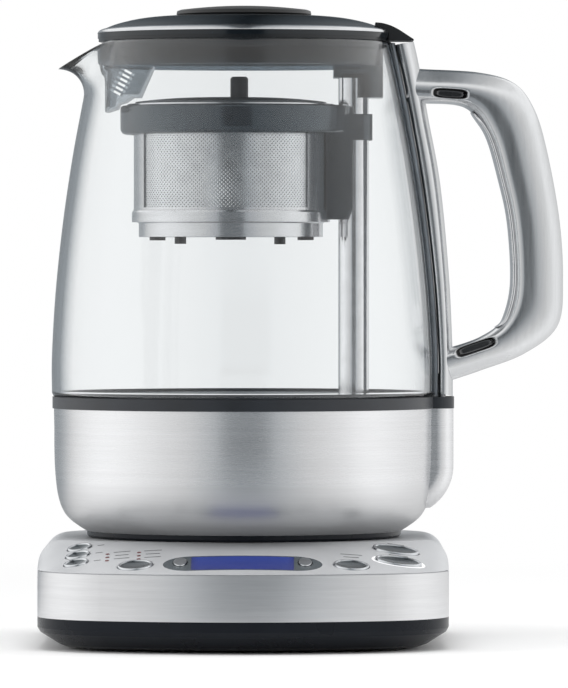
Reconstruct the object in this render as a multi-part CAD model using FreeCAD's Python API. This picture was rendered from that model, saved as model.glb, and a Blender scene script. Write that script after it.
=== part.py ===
import FreeCAD, Part
import math
import os
from FreeCAD import Placement, Rotation, Vector

# An automatic tea maker: a glass jug on a heated steel bowl, standing on a power base.
# A basket of tea leaves rides up and down a hollow post inside the jug, pulled by magnets.
# Millimetres. The origin is on the jug's axis at table level, +X is the handle side,
# -X the spout side, -Y the front with the panel, +Z up.

# Power base
HALF_WIDTH = 84.6
FRONT_Y = -113.0
REAR_Y = 95.0
FRONT_BOW = 140.0
CORNER = 45.0
TRAY_BOTTOM = 1.2
TRAY_TOP = 13.2
TRAY_TUCK = 10.0
TRAY_TUCK_Z = 8.4
BAND_TOP = 32.0
BAND_END_Y = -64.0
BAND_THICK = 0.8
DECK_TOP = 43.6
DECK_ROUND = 9.0
WALL = 2.5
PANEL_EDGE_Z = 32.6
PANEL_SLOPE = 12.6
INLAY = 1.0
FOOT_RADIUS = 7.0
FOOT_RECESS = 1.2
FOOT_X = 56.0
FOOT_Y = (-66.0, 64.0)
SCREW_X = 62.0
SCREW_Y = (-40.0, 52.0)
GLAND_Z = 23.0
GLAND_BORE = 3.6

# Panel controls: centre x, centre y, half length across, half length front to back
SMALL_BUTTON = 5.1
ROUND_BUTTON = 7.3
OVAL_BUTTON = (9.6, 6.6)
ARROW_BUTTON = (2.8, 6.1)
BUTTONS = {
    "button_upper_left": (-67.4, -56.6, SMALL_BUTTON, SMALL_BUTTON),
    "button_middle_left": (-67.8, -68.0, SMALL_BUTTON, SMALL_BUTTON),
    "button_lower_left": (-68.2, -79.8, SMALL_BUTTON, SMALL_BUTTON),
    "button_round_left": (-43.7, -93.6, ROUND_BUTTON, ROUND_BUTTON),
    "button_arrow_left": (-25.4, -93.0, ARROW_BUTTON[0], ARROW_BUTTON[1]),
    "button_arrow_right": (25.4, -93.0, ARROW_BUTTON[0], ARROW_BUTTON[1]),
    "button_round_right": (44.2, -93.2, ROUND_BUTTON, ROUND_BUTTON),
    "button_start": (63.6, -79.6, OVAL_BUTTON[0], OVAL_BUTTON[1]),
    "button_lift": (62.8, -62.6, OVAL_BUTTON[0], OVAL_BUTTON[1]),
}
CROWN = 0.6
BUTTON_GAP = 0.3
FLANGE_TOP = -3.4
FLANGE_THICK = 1.0
FLANGE_SIDE = 1.0
FLANGE_END = 0.5
STEM_END = -6.2
SWITCH_TOP = -7.4
RING_WIDTH = 1.1
DISPLAY_Y = -95.0
DISPLAY_HALF = (32.4, 11.3)
WINDOW_HALF = (20.9, 10.2)
LAMP_RADIUS = 0.8
LAMP_COLUMNS = ((-55.4, -72.4), (-42.5, -74.0))
LAMP_STEP = 5.0
BOARD_DEPTH = 13.0

# Jug, measured from the table with the jug on the base
FOOT_Z = 43.9
BOWL_BOTTOM = 46.4
BOWL_TOP = 97.6
BOWL_WALL = 1.0
BOWL_CURVE = (
    (66.2, 46.4), (70.5, 49.2), (74.6, 53.0), (77.4, 59.0), (78.8, 67.0), (79.5, 80.0), (79.7, 97.6)
)
RING_OUTER = 80.3
RING_TOP = 102.4
FLOOR_TOP = 103.4
FLOOR_RADIUS = 75.0
FLOOR_THICK = 1.2
FLOOR_LIP_Z = 96.0
GLASS_WALL = 3.2
GLASS_BOTTOM = 102.6
GLASS_RIM = 251.0
GLASS_CURVE = (
    (80.5, 102.6), (80.5, 120.0), (78.9, 147.0), (75.8, 176.0),
    (71.8, 203.0), (67.9, 224.0), (65.1, 238.0), (62.3, 251.0)
)
LIP_CURVE = ((-61.5, 251.0), (-65.3, 249.6), (-69.1, 247.9), (-72.8, 245.5), (-76.0, 242.6), (-79.5, 238.6))
FAIRING_OUTER = 87.7
FAIRING_HALF = 14.0
SPINE_CURVE = (
    (87.7, 102.6), (87.4, 123.0), (85.9, 154.0), (82.3, 191.5), (77.2, 219.6), (73.4, 241.0), (71.3, 250.4)
)
SPINE_HALF = 11.0
PAD_THICK = 1.0
HANDLE_HALF = 10.5
HANDLE_OUTER = (
    (76.0, 239.6), (98.6, 238.2), (113.0, 233.9), (121.0, 224.3), (126.4, 208.3), (132.1, 178.1),
    (133.8, 152.0), (131.6, 132.2), (118.0, 120.6), (99.0, 113.2), (84.0, 108.2)
)
HANDLE_INNER = (
    (84.0, 122.2), (99.0, 127.4), (108.6, 135.2), (111.9, 150.0), (110.6, 175.0), (106.6, 194.0),
    (101.4, 211.5), (92.6, 223.4), (74.0, 225.3)
)
GRIP_THICK = 3.0
HANDLE_OUTER_ROUND = 8.5
HANDLE_INNER_ROUND = 2.0

# Lift post and its drive
POST_X = 46.0
POST_RADIUS = 6.4
POST_BORE = 5.6
POST_TOP = 236.0
SCREW_RADIUS = 2.0
CARRIAGE_RADIUS = 5.3
CARRIAGE_Z = (184.0, 210.0)

# Tea basket, in its raised place
BASKET_X = -5.5
DRUM_RADIUS = 40.7
DRUM_WALL = 0.6
WINDOW_MIDDLE = 95.0
WINDOW_SPREAD = 114.0
WINDOW_Z = (181.4, 213.0)
COLLAR_X = -3.2
COLLAR_RADIUS = 48.6
COLLAR_Z = (212.0, 224.0)
DRUM_BOTTOM = 180.8
BASE_RING_RADIUS = 41.5
BASE_RING_Z = 175.4
TIER_RADIUS = 38.6
TIER_Z = 169.2
NUB_Z = 166.2
NUB_CIRCLE = 33.5
NUBS = ((-128, 2.4, NUB_Z), (52, 2.4, NUB_Z), (-21, 3.4, 167.8), (158, 3.4, 167.8))
ARM_X = (34.0, 45.0)
ARM_HALF = 10.0
ARM_BOTTOM = 176.5
CLIP_OUTER_X = 53.7
CLIP_Z = (209.6, 220.5)
MAGNET_X = 43.0
MAGNET_Y = 7.6
MAGNET_RADIUS = 1.55
MAGNET_Z = (186.0, 206.9)
BASKET_LID_RADIUS = 40.0
BASKET_LID_Z = 224.8
BASKET_KNOB_X = -1.95
BASKET_KNOB_TOP = 236.2

# Jug lid
LID_RADIUS = 61.3
LID_EDGE_Z = 252.4
SLEEVE_RADIUS = 58.4
SLEEVE_BOTTOM = 240.3
SLOT_COUNT = 6
SLOT_LEAN = 28.0
GUIDE_BOTTOM = 235.6
TONGUE_BOTTOM = 227.4
LID_DOME = ((57.8, 256.7), (54.6, 258.0), (49.3, 259.5), (43.9, 260.6), (35.9, 261.5), (28.0, 262.0))
TRIM_CURVE = ((61.4, 254.5), (61.0, 255.3), (59.8, 256.1), (57.9, 256.65))

RUNNING_GAP = 0.05


def cylinder(radius, bottom, top, x=0.0, y=0.0):
    return Part.makeCylinder(radius, top - bottom, Vector(x, y, bottom))


def tube(outer, inner, bottom, top, x=0.0, y=0.0):
    return cylinder(outer, bottom, top, x, y).cut(cylinder(inner, bottom - 1, top + 1, x, y))


def block(x_low, x_high, y_low, y_high, z_low, z_high):
    return Part.makeBox(x_high - x_low, y_high - y_low, z_high - z_low, Vector(x_low, y_low, z_low))


def side_points(points):
    return [Vector(x, 0, z) for x, z in points]


def side_curve(points):
    """A smooth curve in the XZ plane through the points."""
    curve = Part.BSplineCurve()
    curve.interpolate(side_points(points))
    return curve.toShape()


def side_line(*points):
    return Part.makePolygon(side_points(points)).Edges


def turned(edges, x=0.0):
    """A solid of revolution about the vertical line at x, from a closed outline in the XZ plane."""
    face = Part.Face(Part.Wire(Part.__sortEdges__(edges)))
    solid = face.revolve(Vector(0, 0, 0), Vector(0, 0, 1), 360)
    solid = solid if solid.ShapeType == "Solid" else Part.Solid(solid.Shells[0])
    if solid.Volume < 0:
        solid.reverse()
    solid.translate(Vector(x, 0, 0))
    return solid


def turned_polygon(points, x=0.0):
    return turned(side_line(*points, points[0]), x)


def side_prism(edges, half):
    """A solid with an outline in the XZ plane, reaching half each way along Y."""
    face = Part.Face(Part.Wire(Part.__sortEdges__(edges)))
    prism = face.extrude(Vector(0, 2 * half, 0))
    prism.translate(Vector(0, -half, 0))
    return prism


def shifted(points, x=0.0, z=0.0):
    return tuple((px + x, pz + z) for px, pz in points)


def save(name, shape):
    shape.exportStep("parts/" + name + ".step")


# Power base


def corner_centre():
    """Centre of the right front corner's arc, which runs into the bowed front."""
    x = HALF_WIDTH - CORNER
    reach = FRONT_BOW - CORNER
    return x, FRONT_Y + FRONT_BOW - math.sqrt(reach * reach - x * x)


def front_edge_y(x):
    """Y of the front edge, seen from above, at the given x."""
    x = abs(x)
    corner_x, corner_y = corner_centre()
    join = FRONT_BOW * corner_x / (FRONT_BOW - CORNER)
    if x < join:
        return FRONT_Y + FRONT_BOW - math.sqrt(FRONT_BOW**2 - x * x)
    return corner_y - math.sqrt(CORNER**2 - (x - corner_x) ** 2)


def front_edges(inset, z):
    """The bowed front and its two corners, from the left side round to the right side."""
    corner_x, corner_y = corner_centre()
    bow_y = FRONT_Y + FRONT_BOW
    bow = FRONT_BOW - inset
    corner = CORNER - inset
    direction = Vector(corner_x, corner_y - bow_y, 0).normalize()
    middle = (direction + Vector(1, 0, 0)).normalize()
    join = Vector(0, bow_y, z) + direction * bow
    half_way = Vector(corner_x, corner_y, z) + middle * corner
    side = Vector(HALF_WIDTH - inset, corner_y, z)
    front = Vector(0, bow_y - bow, z)
    left = [Vector(-p.x, p.y, p.z) for p in (side, half_way, join)]
    return [
        Part.Arc(left[0], left[1], left[2]).toShape(),
        Part.Arc(left[2], front, join).toShape(),
        Part.Arc(join, half_way, side).toShape(),
    ]


def base_outline(inset, z):
    corner_y = corner_centre()[1]
    side = HALF_WIDTH - inset
    radius = CORNER - inset
    rear = REAR_Y - inset
    rear_y = REAR_Y - CORNER
    rear_x = HALF_WIDTH - CORNER
    diagonal = radius * math.sqrt(0.5)
    right = [
        Vector(side, corner_y, z),
        Vector(side, rear_y, z),
        Vector(rear_x + diagonal, rear_y + diagonal, z),
        Vector(rear_x, rear, z),
    ]
    left = [Vector(-p.x, p.y, p.z) for p in right]
    edges = front_edges(inset, z)
    edges.append(Part.makeLine(right[0], right[1]))
    edges.append(Part.Arc(right[1], right[2], right[3]).toShape())
    edges.append(Part.makeLine(right[3], left[3]))
    edges.append(Part.Arc(left[3], left[2], left[1]).toShape())
    edges.append(Part.makeLine(left[1], left[0]))
    return Part.Wire(edges)


def base_slab(inset, bottom, top):
    return Part.Face(base_outline(inset, bottom)).extrude(Vector(0, 0, top - bottom))


def above_panel(inset):
    """Everything above the sloping panel, whose slope starts level along the whole front edge."""
    slope = math.radians(PANEL_SLOPE)
    level = PANEL_EDGE_Z - inset * (1 / math.cos(slope) - math.tan(slope))
    rise = DECK_TOP - level + 4.0
    edges = front_edges(inset, level)
    start = edges[0].valueAt(edges[0].FirstParameter)
    side_x = HALF_WIDTH + 20.0
    far_y = FRONT_Y - 120.0
    edges += Part.makePolygon(
        [
            Vector(-start.x, start.y, level),
            Vector(side_x, start.y, level),
            Vector(side_x, far_y, level),
            Vector(-side_x, far_y, level),
            Vector(-side_x, start.y, level),
            start,
        ]
    ).Edges
    face = Part.Face(Part.Wire(edges))
    return face.extrude(Vector(0, rise / math.tan(slope), rise))


def deck_body(inset):
    """The deck's outside, or a shape inset evenly from it."""
    top = DECK_TOP - inset
    body = base_slab(inset, TRAY_TOP, top)
    rim = [e for e in body.Edges if abs(e.BoundBox.ZMin - top) < 0.001 and abs(e.BoundBox.ZMax - top) < 0.001]
    body = body.makeFillet(DECK_ROUND - inset, rim)
    return body.cut(above_panel(inset))


def panel_point(x, y):
    slope = math.tan(math.radians(PANEL_SLOPE))
    return Vector(x, y, min(DECK_TOP, PANEL_EDGE_Z + (y - front_edge_y(x)) * slope))


def panel_place(x, y):
    """Placement on the panel with its own Z axis standing square out of the surface."""
    slope = math.tan(math.radians(PANEL_SLOPE))
    edge_step = 0.5
    side_fall = (front_edge_y(x + edge_step) - front_edge_y(x - edge_step)) / (2 * edge_step)
    normal = Vector(side_fall * slope, -slope, 1).normalize()
    return Placement(panel_point(x, y), Rotation(Vector(0, 0, 1), normal))


def oval(half_x, half_y, bottom, top):
    """An upright prism with an elliptical section about the Z axis."""
    if abs(half_x - half_y) < 0.001:
        return cylinder(half_x, bottom, top)
    turn = 90 if half_y > half_x else 0
    ellipse = Part.Ellipse(Vector(0, 0, bottom), max(half_x, half_y), min(half_x, half_y))
    prism = Part.Face(Part.Wire(ellipse.toShape())).extrude(Vector(0, 0, top - bottom))
    prism.rotate(Vector(0, 0, 0), Vector(0, 0, 1), turn)
    return prism


def on_panel(shape, x, y):
    shape.Placement = panel_place(x, y).multiply(shape.Placement)
    return shape


def panel_layer(outline):
    """The outer layer of the deck, as thick as an inlay, within an upright outline."""
    return deck_body(0).common(outline).cut(deck_body(INLAY))


def display_outline():
    """The outline of the display's surround, with half-round ends."""
    half_x, half_y = DISPLAY_HALF
    straight = half_x - half_y
    prism = block(-straight, straight, -half_y, half_y, -6, 6)
    prism = prism.fuse([cylinder(half_y, -6, 6, -straight), cylinder(half_y, -6, 6, straight)])
    return on_panel(prism.removeSplitter(), 0, DISPLAY_Y)


def display_opening(shrink, bottom):
    half_x = WINDOW_HALF[0] - shrink
    half_y = WINDOW_HALF[1] - shrink
    return on_panel(block(-half_x, half_x, -half_y, half_y, bottom, 6), 0, DISPLAY_Y)


def lit_ring_outline(grow):
    x, y, half_x, half_y = BUTTONS["button_start"]
    return on_panel(oval(half_x + grow, half_y + grow, -6, 6), x, y)


def lamp_places():
    return [(x, y - LAMP_STEP * step) for x, y in LAMP_COLUMNS for step in range(3)]


def screw_places():
    return [(x, y) for x in (-SCREW_X, SCREW_X) for y in SCREW_Y]


def foot_places():
    return [(0.0, 0.0)] + [(x, y) for x in (-FOOT_X, FOOT_X) for y in FOOT_Y]


def make_base_tray():
    """The black tray, tucked in below with eased edges, hollow, with bosses for the screws."""
    wires = [
        base_outline(TRAY_TUCK + 1.4, TRAY_BOTTOM),
        base_outline(TRAY_TUCK - 1.0, TRAY_BOTTOM + 0.9),
        base_outline(1.2, TRAY_TUCK_Z - 1.4),
        base_outline(0.0, TRAY_TUCK_Z + 0.6),
        base_outline(0.0, TRAY_TOP),
    ]
    tray = Part.makeLoft(wires, True, True)
    hollow_foot = base_outline(TRAY_TUCK + WALL, TRAY_BOTTOM + WALL)
    hollow_waist = base_outline(WALL, TRAY_TUCK_Z + 1.0)
    tray = tray.cut(Part.makeLoft([hollow_foot, hollow_waist], True, True))
    tray = tray.cut(base_slab(WALL, TRAY_TUCK_Z + 1.0, TRAY_TOP + 1))
    for x, y in screw_places():
        tray = tray.fuse(cylinder(5.5, TRAY_BOTTOM + WALL, TRAY_TOP - 0.1, x, y))
        tray = tray.cut(cylinder(3.5, TRAY_BOTTOM - 1, 5.0, x, y)).cut(cylinder(1.9, 4.0, TRAY_TOP + 1, x, y))
    for x in (-32.0, 32.0):
        for y in (34.0, 74.0):
            tray = tray.fuse(cylinder(3.0, TRAY_BOTTOM + WALL, 6.0, x, y))
    for x, y in foot_places():
        tray = tray.cut(cylinder(FOOT_RADIUS + 0.1, TRAY_BOTTOM - 1, TRAY_BOTTOM + FOOT_RECESS, x, y))
    save("base_tray", tray.removeSplitter())


def make_rubber_feet():
    feet = [cylinder(FOOT_RADIUS, 0, TRAY_BOTTOM + FOOT_RECESS, x, y) for x, y in foot_places()]
    save("rubber_feet", Part.makeCompound(feet))


def make_base_screws():
    screws = []
    for x, y in screw_places():
        head = cylinder(3.1, 2.6, 4.9, x, y)
        slot = block(x - 2.2, x + 2.2, y - 0.4, y + 0.4, 2.5, 3.6)
        screws.append(head.cut(slot).fuse(cylinder(1.6, 4.9, 20.0, x, y)))
    save("base_screws", Part.makeCompound(screws))


def band_region(grow):
    """The stretch of the front wall that the steel band covers, with rounded upper ends."""
    top = BAND_TOP + grow
    region = block(-100, 100, FRONT_Y - 5, BAND_END_Y + grow, TRAY_TOP, top)
    ends = [
        e
        for e in region.Edges
        if abs(e.BoundBox.YMin - BAND_END_Y - grow) < 0.01 and abs(e.BoundBox.ZMin - top) < 0.01
    ]
    return region.makeFillet(4.0, ends)


def make_front_band():
    skin = base_slab(0.0, TRAY_TOP, DECK_TOP).cut(base_slab(BAND_THICK, TRAY_TOP - 1, DECK_TOP + 1))
    save("front_band", skin.common(band_region(0.0)))


def make_top_deck():
    deck = deck_body(0).cut(deck_body(WALL))
    bosses = [cylinder(4.5, TRAY_TOP, DECK_TOP - WALL + 0.5, x, y) for x, y in screw_places()]
    deck = deck.fuse(bosses)
    for x, y in screw_places():
        deck = deck.cut(cylinder(1.7, TRAY_TOP - 1, 22.0, x, y))
    skin = base_slab(-1.0, TRAY_TOP - 1, DECK_TOP).cut(base_slab(BAND_THICK, TRAY_TOP - 1, DECK_TOP + 1))
    deck = deck.cut(skin.common(band_region(0.4)))
    deck = deck.cut(panel_layer(display_outline()))
    deck = deck.cut(display_opening(2.0, -8))
    deck = deck.cut(panel_layer(lit_ring_outline(BUTTON_GAP + RING_WIDTH + 0.1)))
    for x, y, half_x, half_y in BUTTONS.values():
        deck = deck.cut(on_panel(oval(half_x + BUTTON_GAP, half_y + BUTTON_GAP, -8, 6), x, y))
    for x, y in lamp_places():
        deck = deck.cut(on_panel(cylinder(LAMP_RADIUS + 0.05, -8, 6), x, y))
    deck = deck.cut(cylinder(24.2, DECK_TOP - 6, DECK_TOP + 1))
    gland_hole = Part.makeCylinder(7.1, 12, Vector(0, REAR_Y - 8, GLAND_Z), Vector(0, 1, 0))
    save("top_deck", deck.cut(gland_hole))


def make_base_socket():
    """The round socket that a jug seats on at any turn: two grooves hold its contacts."""
    outline = ((0, 30), (24, 30), (24, 38), (29, 38), (29, 41.0), (24, 41.0), (24, 47.0), (23, 47.6))
    grooves = ((17.2, 47.6), (17.2, 37.0), (11.8, 37.0), (11.8, 47.6), (4.4, 47.6), (4.4, 35.0), (0, 35.0))
    save("base_socket", turned_polygon(outline + grooves))


def make_contact_rings():
    ring = tube(12.9, 11.9, 37.2, 46.0)
    centre = cylinder(4.3, 35.2, 36.4)
    save("contact_rings", Part.makeCompound([ring, centre]))


def board_slab(top_depth, thickness, spread):
    place = Placement(panel_point(0, DISPLAY_Y), Rotation(Vector(1, 0, 0), PANEL_SLOPE))
    slab = block(-spread, spread, -10.0, 36.0, -top_depth - thickness, -top_depth)
    slab.Placement = place
    return slab


def make_control_board():
    """The circuit board under the panel, held on the deck's underside."""
    board = board_slab(BOARD_DEPTH, 1.6, 72.0).common(deck_body(WALL + 2.0))
    chip = board_slab(BOARD_DEPTH + 1.6, 2.0, 9.0).common(block(-9, 9, -92, -76, 0, 50))
    save("control_board", Part.makeCompound([board.fuse(chip)] + button_switches()))


def button_switches():
    """One tact switch under each button, standing on the board."""
    below = board_slab(BOARD_DEPTH, 40.0, 90.0)
    switches = []
    for x, y, half_x, half_y in BUTTONS.values():
        switch = on_panel(block(-2.6, 2.6, -2.6, 2.6, -22.0, SWITCH_TOP), x, y)
        switches.append(switch.cut(below).common(deck_body(WALL)))
    return switches


def make_display():
    surround = panel_layer(display_outline()).cut(display_opening(0.0, -8))
    for name in ("button_arrow_left", "button_arrow_right"):
        x, y, half_x, half_y = BUTTONS[name]
        surround = surround.cut(on_panel(oval(half_x + BUTTON_GAP, half_y + BUTTON_GAP, -8, 6), x, y))
    save("display_surround", surround)
    window = panel_layer(display_outline()).common(display_opening(0.05, -8))
    save("display_window", window)
    module = on_panel(block(-18.0, 18.0, -8.4, 8.4, -8.5, -2.8), 0, DISPLAY_Y)
    save("display_module", module.cut(deck_body(0).cut(deck_body(WALL)).cut(display_opening(2.0, -8))))


def make_lit_ring():
    """The light ring that surrounds the start button."""
    inner = BUTTON_GAP + 0.1
    ring = panel_layer(lit_ring_outline(inner + RING_WIDTH)).cut(lit_ring_outline(inner))
    save("lit_ring", ring)


def make_indicator_lamps():
    lamps = [on_panel(cylinder(LAMP_RADIUS, -4.0, 0.2), x, y) for x, y in lamp_places()]
    save("indicator_lamps", Part.makeCompound(lamps))


def make_buttons():
    """Each button has a crown in its hole, a flange that keeps it in and a stem over its switch."""
    for name, (x, y, half_x, half_y) in BUTTONS.items():
        crown = oval(half_x, half_y, FLANGE_TOP - FLANGE_THICK / 2, CROWN)
        top_edges = [e for e in crown.Edges if abs(e.BoundBox.ZMin - CROWN) < 0.01]
        crown = crown.makeFillet(CROWN / 2, top_edges)
        flange_bottom = FLANGE_TOP - FLANGE_THICK
        flange = oval(half_x + FLANGE_SIDE, half_y + FLANGE_END, flange_bottom, FLANGE_TOP)
        button = crown.fuse(flange).fuse(cylinder(1.4, STEM_END, flange_bottom))
        save(name, on_panel(button.removeSplitter(), x, y))


def make_cord_gland():
    """The bush in the rear wall that a mains cord comes in through."""
    back = Vector(0, 1, 0)
    body = Part.makeCylinder(7.0, 7.0, Vector(0, REAR_Y - 6.6, GLAND_Z), back)
    collar = Part.makeCylinder(9.0, 1.6, Vector(0, REAR_Y, GLAND_Z), back)
    nut = Part.makeCylinder(9.0, 3.0, Vector(0, REAR_Y - 5.6, GLAND_Z), back)
    bore = Part.makeCylinder(GLAND_BORE, 20, Vector(0, REAR_Y - 10, GLAND_Z), back)
    save("cord_gland", body.fuse(collar).fuse(nut).cut(bore))


def make_power_board():
    """The supply board on the tray: a relay, a transformer and a capacitor stand on it."""
    board = block(-36, 36, 30, 78, 6.0, 7.6)
    relay = block(-30, -12, 38, 52, 7.6, 22)
    transformer = block(-4, 20, 36, 56, 7.6, 26)
    capacitor = cylinder(5.5, 7.6, 24, 28, 66)
    save("power_board", board.fuse([relay, transformer, capacitor]))


# Jug


def glass_solid(grow):
    """The glass wall's outside of revolution, filled, grown sideways by the given amount."""
    points = shifted(GLASS_CURVE, grow)
    lid = side_line(points[-1], (0, GLASS_RIM), (0, GLASS_BOTTOM), points[0])
    return turned([side_curve(points)] + lid)


def spout_solid(inset, lift):
    """The poured lip, from the wall out to its tip, through upright elliptical sections."""
    stations = ((-58, 254.0, 25, 31), (-64, 253.0, 20, 23), (-69.5, 250.0, 14.5, 14.2), (-74, 246.2, 10, 7.4))
    tip = ((-78.0, 241.4, 6.2, 2.6), (-80.5, 239.4, 4.2, 1.4))[inset > 0]
    wires = []
    for x, z, half_y, half_z in stations:
        across = half_y - inset
        deep = half_z - inset * 0.9
        wires.append(spout_section(x, z + lift, across, deep))
    wires.append(spout_section(tip[0], tip[1] + lift, tip[2], tip[3]))
    return Part.makeLoft(wires, True, False)


def spout_section(x, z, half_y, half_z):
    centre = Vector(x, 0, z)
    wide = half_y >= half_z
    major, minor = (half_y, half_z) if wide else (half_z, half_y)
    long_end = centre + (Vector(0, major, 0) if wide else Vector(0, 0, major))
    short_end = centre + (Vector(0, 0, minor) if wide else Vector(0, minor, 0))
    return Part.Wire(Part.Ellipse(long_end, short_end, centre).toShape())


def make_glass_jug():
    inner_points = shifted(GLASS_CURVE, -GLASS_WALL)
    rim = inner_points[-1]
    foot = inner_points[0]
    above = GLASS_RIM + 4
    below = GLASS_BOTTOM - 4
    caps = side_line(rim, (rim[0], above), (0, above), (0, below), (foot[0], below), foot)
    hollow = turned([side_curve(inner_points)] + caps)
    glass = glass_solid(0.0).fuse(spout_solid(0, 0)).cut(hollow).cut(spout_solid(GLASS_WALL, 0.4))
    start = LIP_CURVE[0]
    tip = LIP_CURVE[-1]
    above_lip = side_line(tip, (-95, tip[1]), (-95, 290), (start[0], 290), start)
    lip = side_prism([side_curve(LIP_CURVE)] + above_lip, 50)
    glass = glass.cut(lip).cut(block(-100, 100, -100, 100, GLASS_RIM, 290))
    save("glass_jug", glass)


def fairing(inset, top):
    """The bulge on the bowl that carries the handle's spine, rounded in below."""
    outer = FAIRING_OUTER - inset
    low = shifted(((87.7, 74.0), (86.6, 67.0), (83.4, 61.0), (78.0, 56.0)), -inset, inset)
    profile = [side_curve(low)] + side_line(low[-1], (60, low[-1][1]), (60, top), (outer, top), low[0])
    side = side_prism(profile, FAIRING_HALF - inset)
    corners = [e for e in side.Edges if abs(e.BoundBox.XMin - outer) < 0.01 and e.BoundBox.ZLength > 10]
    return side.makeFillet(7.0 - inset, corners)


def bowl_body(inset, bottom, top):
    """The bowl's outside of revolution with its fairing, filled, or inset by a wall."""
    points = shifted(BOWL_CURVE, -inset)
    ends = side_line(points[-1], (0, BOWL_TOP), (0, BOWL_BOTTOM), points[0])
    body = turned([side_curve(points)] + ends).fuse(fairing(inset, BOWL_TOP))
    return body.common(cylinder(120, bottom, top))


def make_steel_bowl():
    bowl = bowl_body(0.0, BOWL_BOTTOM, BOWL_TOP)
    bowl = bowl.cut(bowl_body(BOWL_WALL, BOWL_BOTTOM + BOWL_WALL, BOWL_TOP - BOWL_WALL))
    bowl = bowl.cut(cylinder(59.0, BOWL_BOTTOM - 1, BOWL_BOTTOM + 3))
    bowl = bowl.cut(cylinder(75.3, BOWL_TOP - 3, BOWL_TOP + 1))
    for x, y in handle_screw_places():
        bowl = bowl.cut(cylinder(1.8, BOWL_TOP - 3, BOWL_TOP + 1, x, y))
    for x, y in foot_screw_places():
        bowl = bowl.cut(cylinder(1.5, BOWL_BOTTOM - 1, BOWL_BOTTOM + 3, x, y))
    save("steel_bowl", bowl)


def handle_screw_places():
    return [(83.0, -6.0), (83.0, 6.0)]


def foot_screw_places():
    turns = [math.radians(angle) for angle in (30, 150, 270)]
    return [(62.0 * math.cos(a), 62.0 * math.sin(a)) for a in turns]


def make_foot_cover():
    """The black cover under the bowl: a rim to stand on and a raised middle over the socket."""
    rim = ((65.0, 43.9), (65.8, 44.7), (65.8, 46.4), (57.0, 46.4), (57.0, 52.5), (26.0, 52.5), (26.0, 57.0))
    middle = ((23.4, 57.0), (23.4, 50.5), (54.5, 50.5), (54.5, 43.9))
    cover = turned_polygon(rim + middle)
    for x, y in foot_screw_places():
        cover = cover.cut(cylinder(1.7, FOOT_Z - 1, 48, x, y)).cut(cylinder(2.9, FOOT_Z - 1, 45.2, x, y))
    save("foot_cover", cover)


def make_jug_screws():
    """Three screws hold the foot cover to the bowl, and two hold the bowl to the spine."""
    screws = []
    for x, y in foot_screw_places():
        head = cylinder(2.7, 44.1, 45.2, x, y).cut(block(x - 2, x + 2, y - 0.3, y + 0.3, 44, 44.6))
        screws.append(head.fuse(cylinder(1.4, 45.2, 51.0, x, y)))
    for x, y in handle_screw_places():
        screws.append(cylinder(2.8, 94.4, 96.6, x, y).fuse(cylinder(1.5, 96.6, 112.0, x, y)))
    save("jug_screws", Part.makeCompound(screws))


def make_jug_connector():
    """The jug's half of the coupling: a round plug whose skirt and pin drop into the socket."""
    body = ((2.6, 38.5), (2.6, 48.0), (13.4, 48.0), (13.4, 38.6), (15.4, 38.6), (15.4, 48.0), (23.0, 48.0))
    save("jug_connector", turned_polygon(((0, 38.5),) + body + ((23.0, 60.0), (0, 60.0))))


def make_seam_ring():
    """The black ring between bowl and glass, drawn out round the foot of the spine."""
    ring = tube(RING_OUTER, 75.1, BOWL_TOP, RING_TOP)
    lug = block(60, FAIRING_OUTER + 0.3, -FAIRING_HALF - 0.3, FAIRING_HALF + 0.3, BOWL_TOP, RING_TOP)
    corners = [e for e in lug.Edges if e.BoundBox.XMin > 80 and e.BoundBox.ZLength > 1]
    ring = ring.fuse(lug.makeFillet(7.3, corners).cut(cylinder(75.1, BOWL_TOP - 1, RING_TOP + 1)))
    for x, y in handle_screw_places():
        ring = ring.cut(cylinder(1.8, BOWL_TOP - 1, RING_TOP + 1, x, y))
    save("seam_ring", ring.removeSplitter())


def make_floor_plate():
    """The heated floor of the jug, a shallow steel pan turned down at its rim."""
    under = FLOOR_TOP - FLOOR_THICK
    lip = FLOOR_RADIUS - FLOOR_THICK
    outside = ((FLOOR_RADIUS, FLOOR_LIP_Z), (FLOOR_RADIUS, FLOOR_TOP), (0, FLOOR_TOP))
    pan = turned_polygon(((0, under), (lip, under), (lip, FLOOR_LIP_Z)) + outside)
    save("floor_plate", pan.cut(cylinder(4.6, under - 1, FLOOR_TOP + 1, POST_X)))


def make_floor_seal():
    glass_foot = GLASS_CURVE[0][0] - GLASS_WALL
    save("floor_seal", tube(glass_foot - 0.05, FLOOR_RADIUS + 0.05, RING_TOP, FLOOR_TOP + 1.2))


def make_heating_element():
    """A tubular element bent into an open ring under the floor, with its two cold ends down."""
    ring = Part.makeTorus(30.0, 3.8, Vector(0, 0, 98.3), Vector(0, 0, 1))
    ring = ring.cut(block(-60, 0, -6, 6, 90, 110))
    ends = [cylinder(3.8, 84.0, 98.3, -28.9, y) for y in (-8.6, 8.6)]
    save("heating_element", ring.fuse(ends).removeSplitter())


def make_temperature_sensor():
    probe = cylinder(4.0, 94.0, 102.1)
    save("temperature_sensor", probe.fuse(cylinder(6.0, 92.0, 95.0)).removeSplitter())


def make_gear_motor():
    """The small geared motor that turns the lead screw, with its bracket to the floor plate."""
    motor = cylinder(10.0, 58.0, 78.0, POST_X)
    gearbox = block(POST_X - 10, POST_X + 10, -10, 10, 78.0, 88.0)
    under_floor = FLOOR_TOP - FLOOR_THICK
    legs = [block(POST_X + side, POST_X + side + 2, -6, 6, 88.0, under_floor) for side in (-10, 8)]
    shaft_room = cylinder(SCREW_RADIUS + RUNNING_GAP, 80.0, 90.0, POST_X)
    save("gear_motor", motor.fuse([gearbox] + legs).cut(shaft_room))


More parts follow.
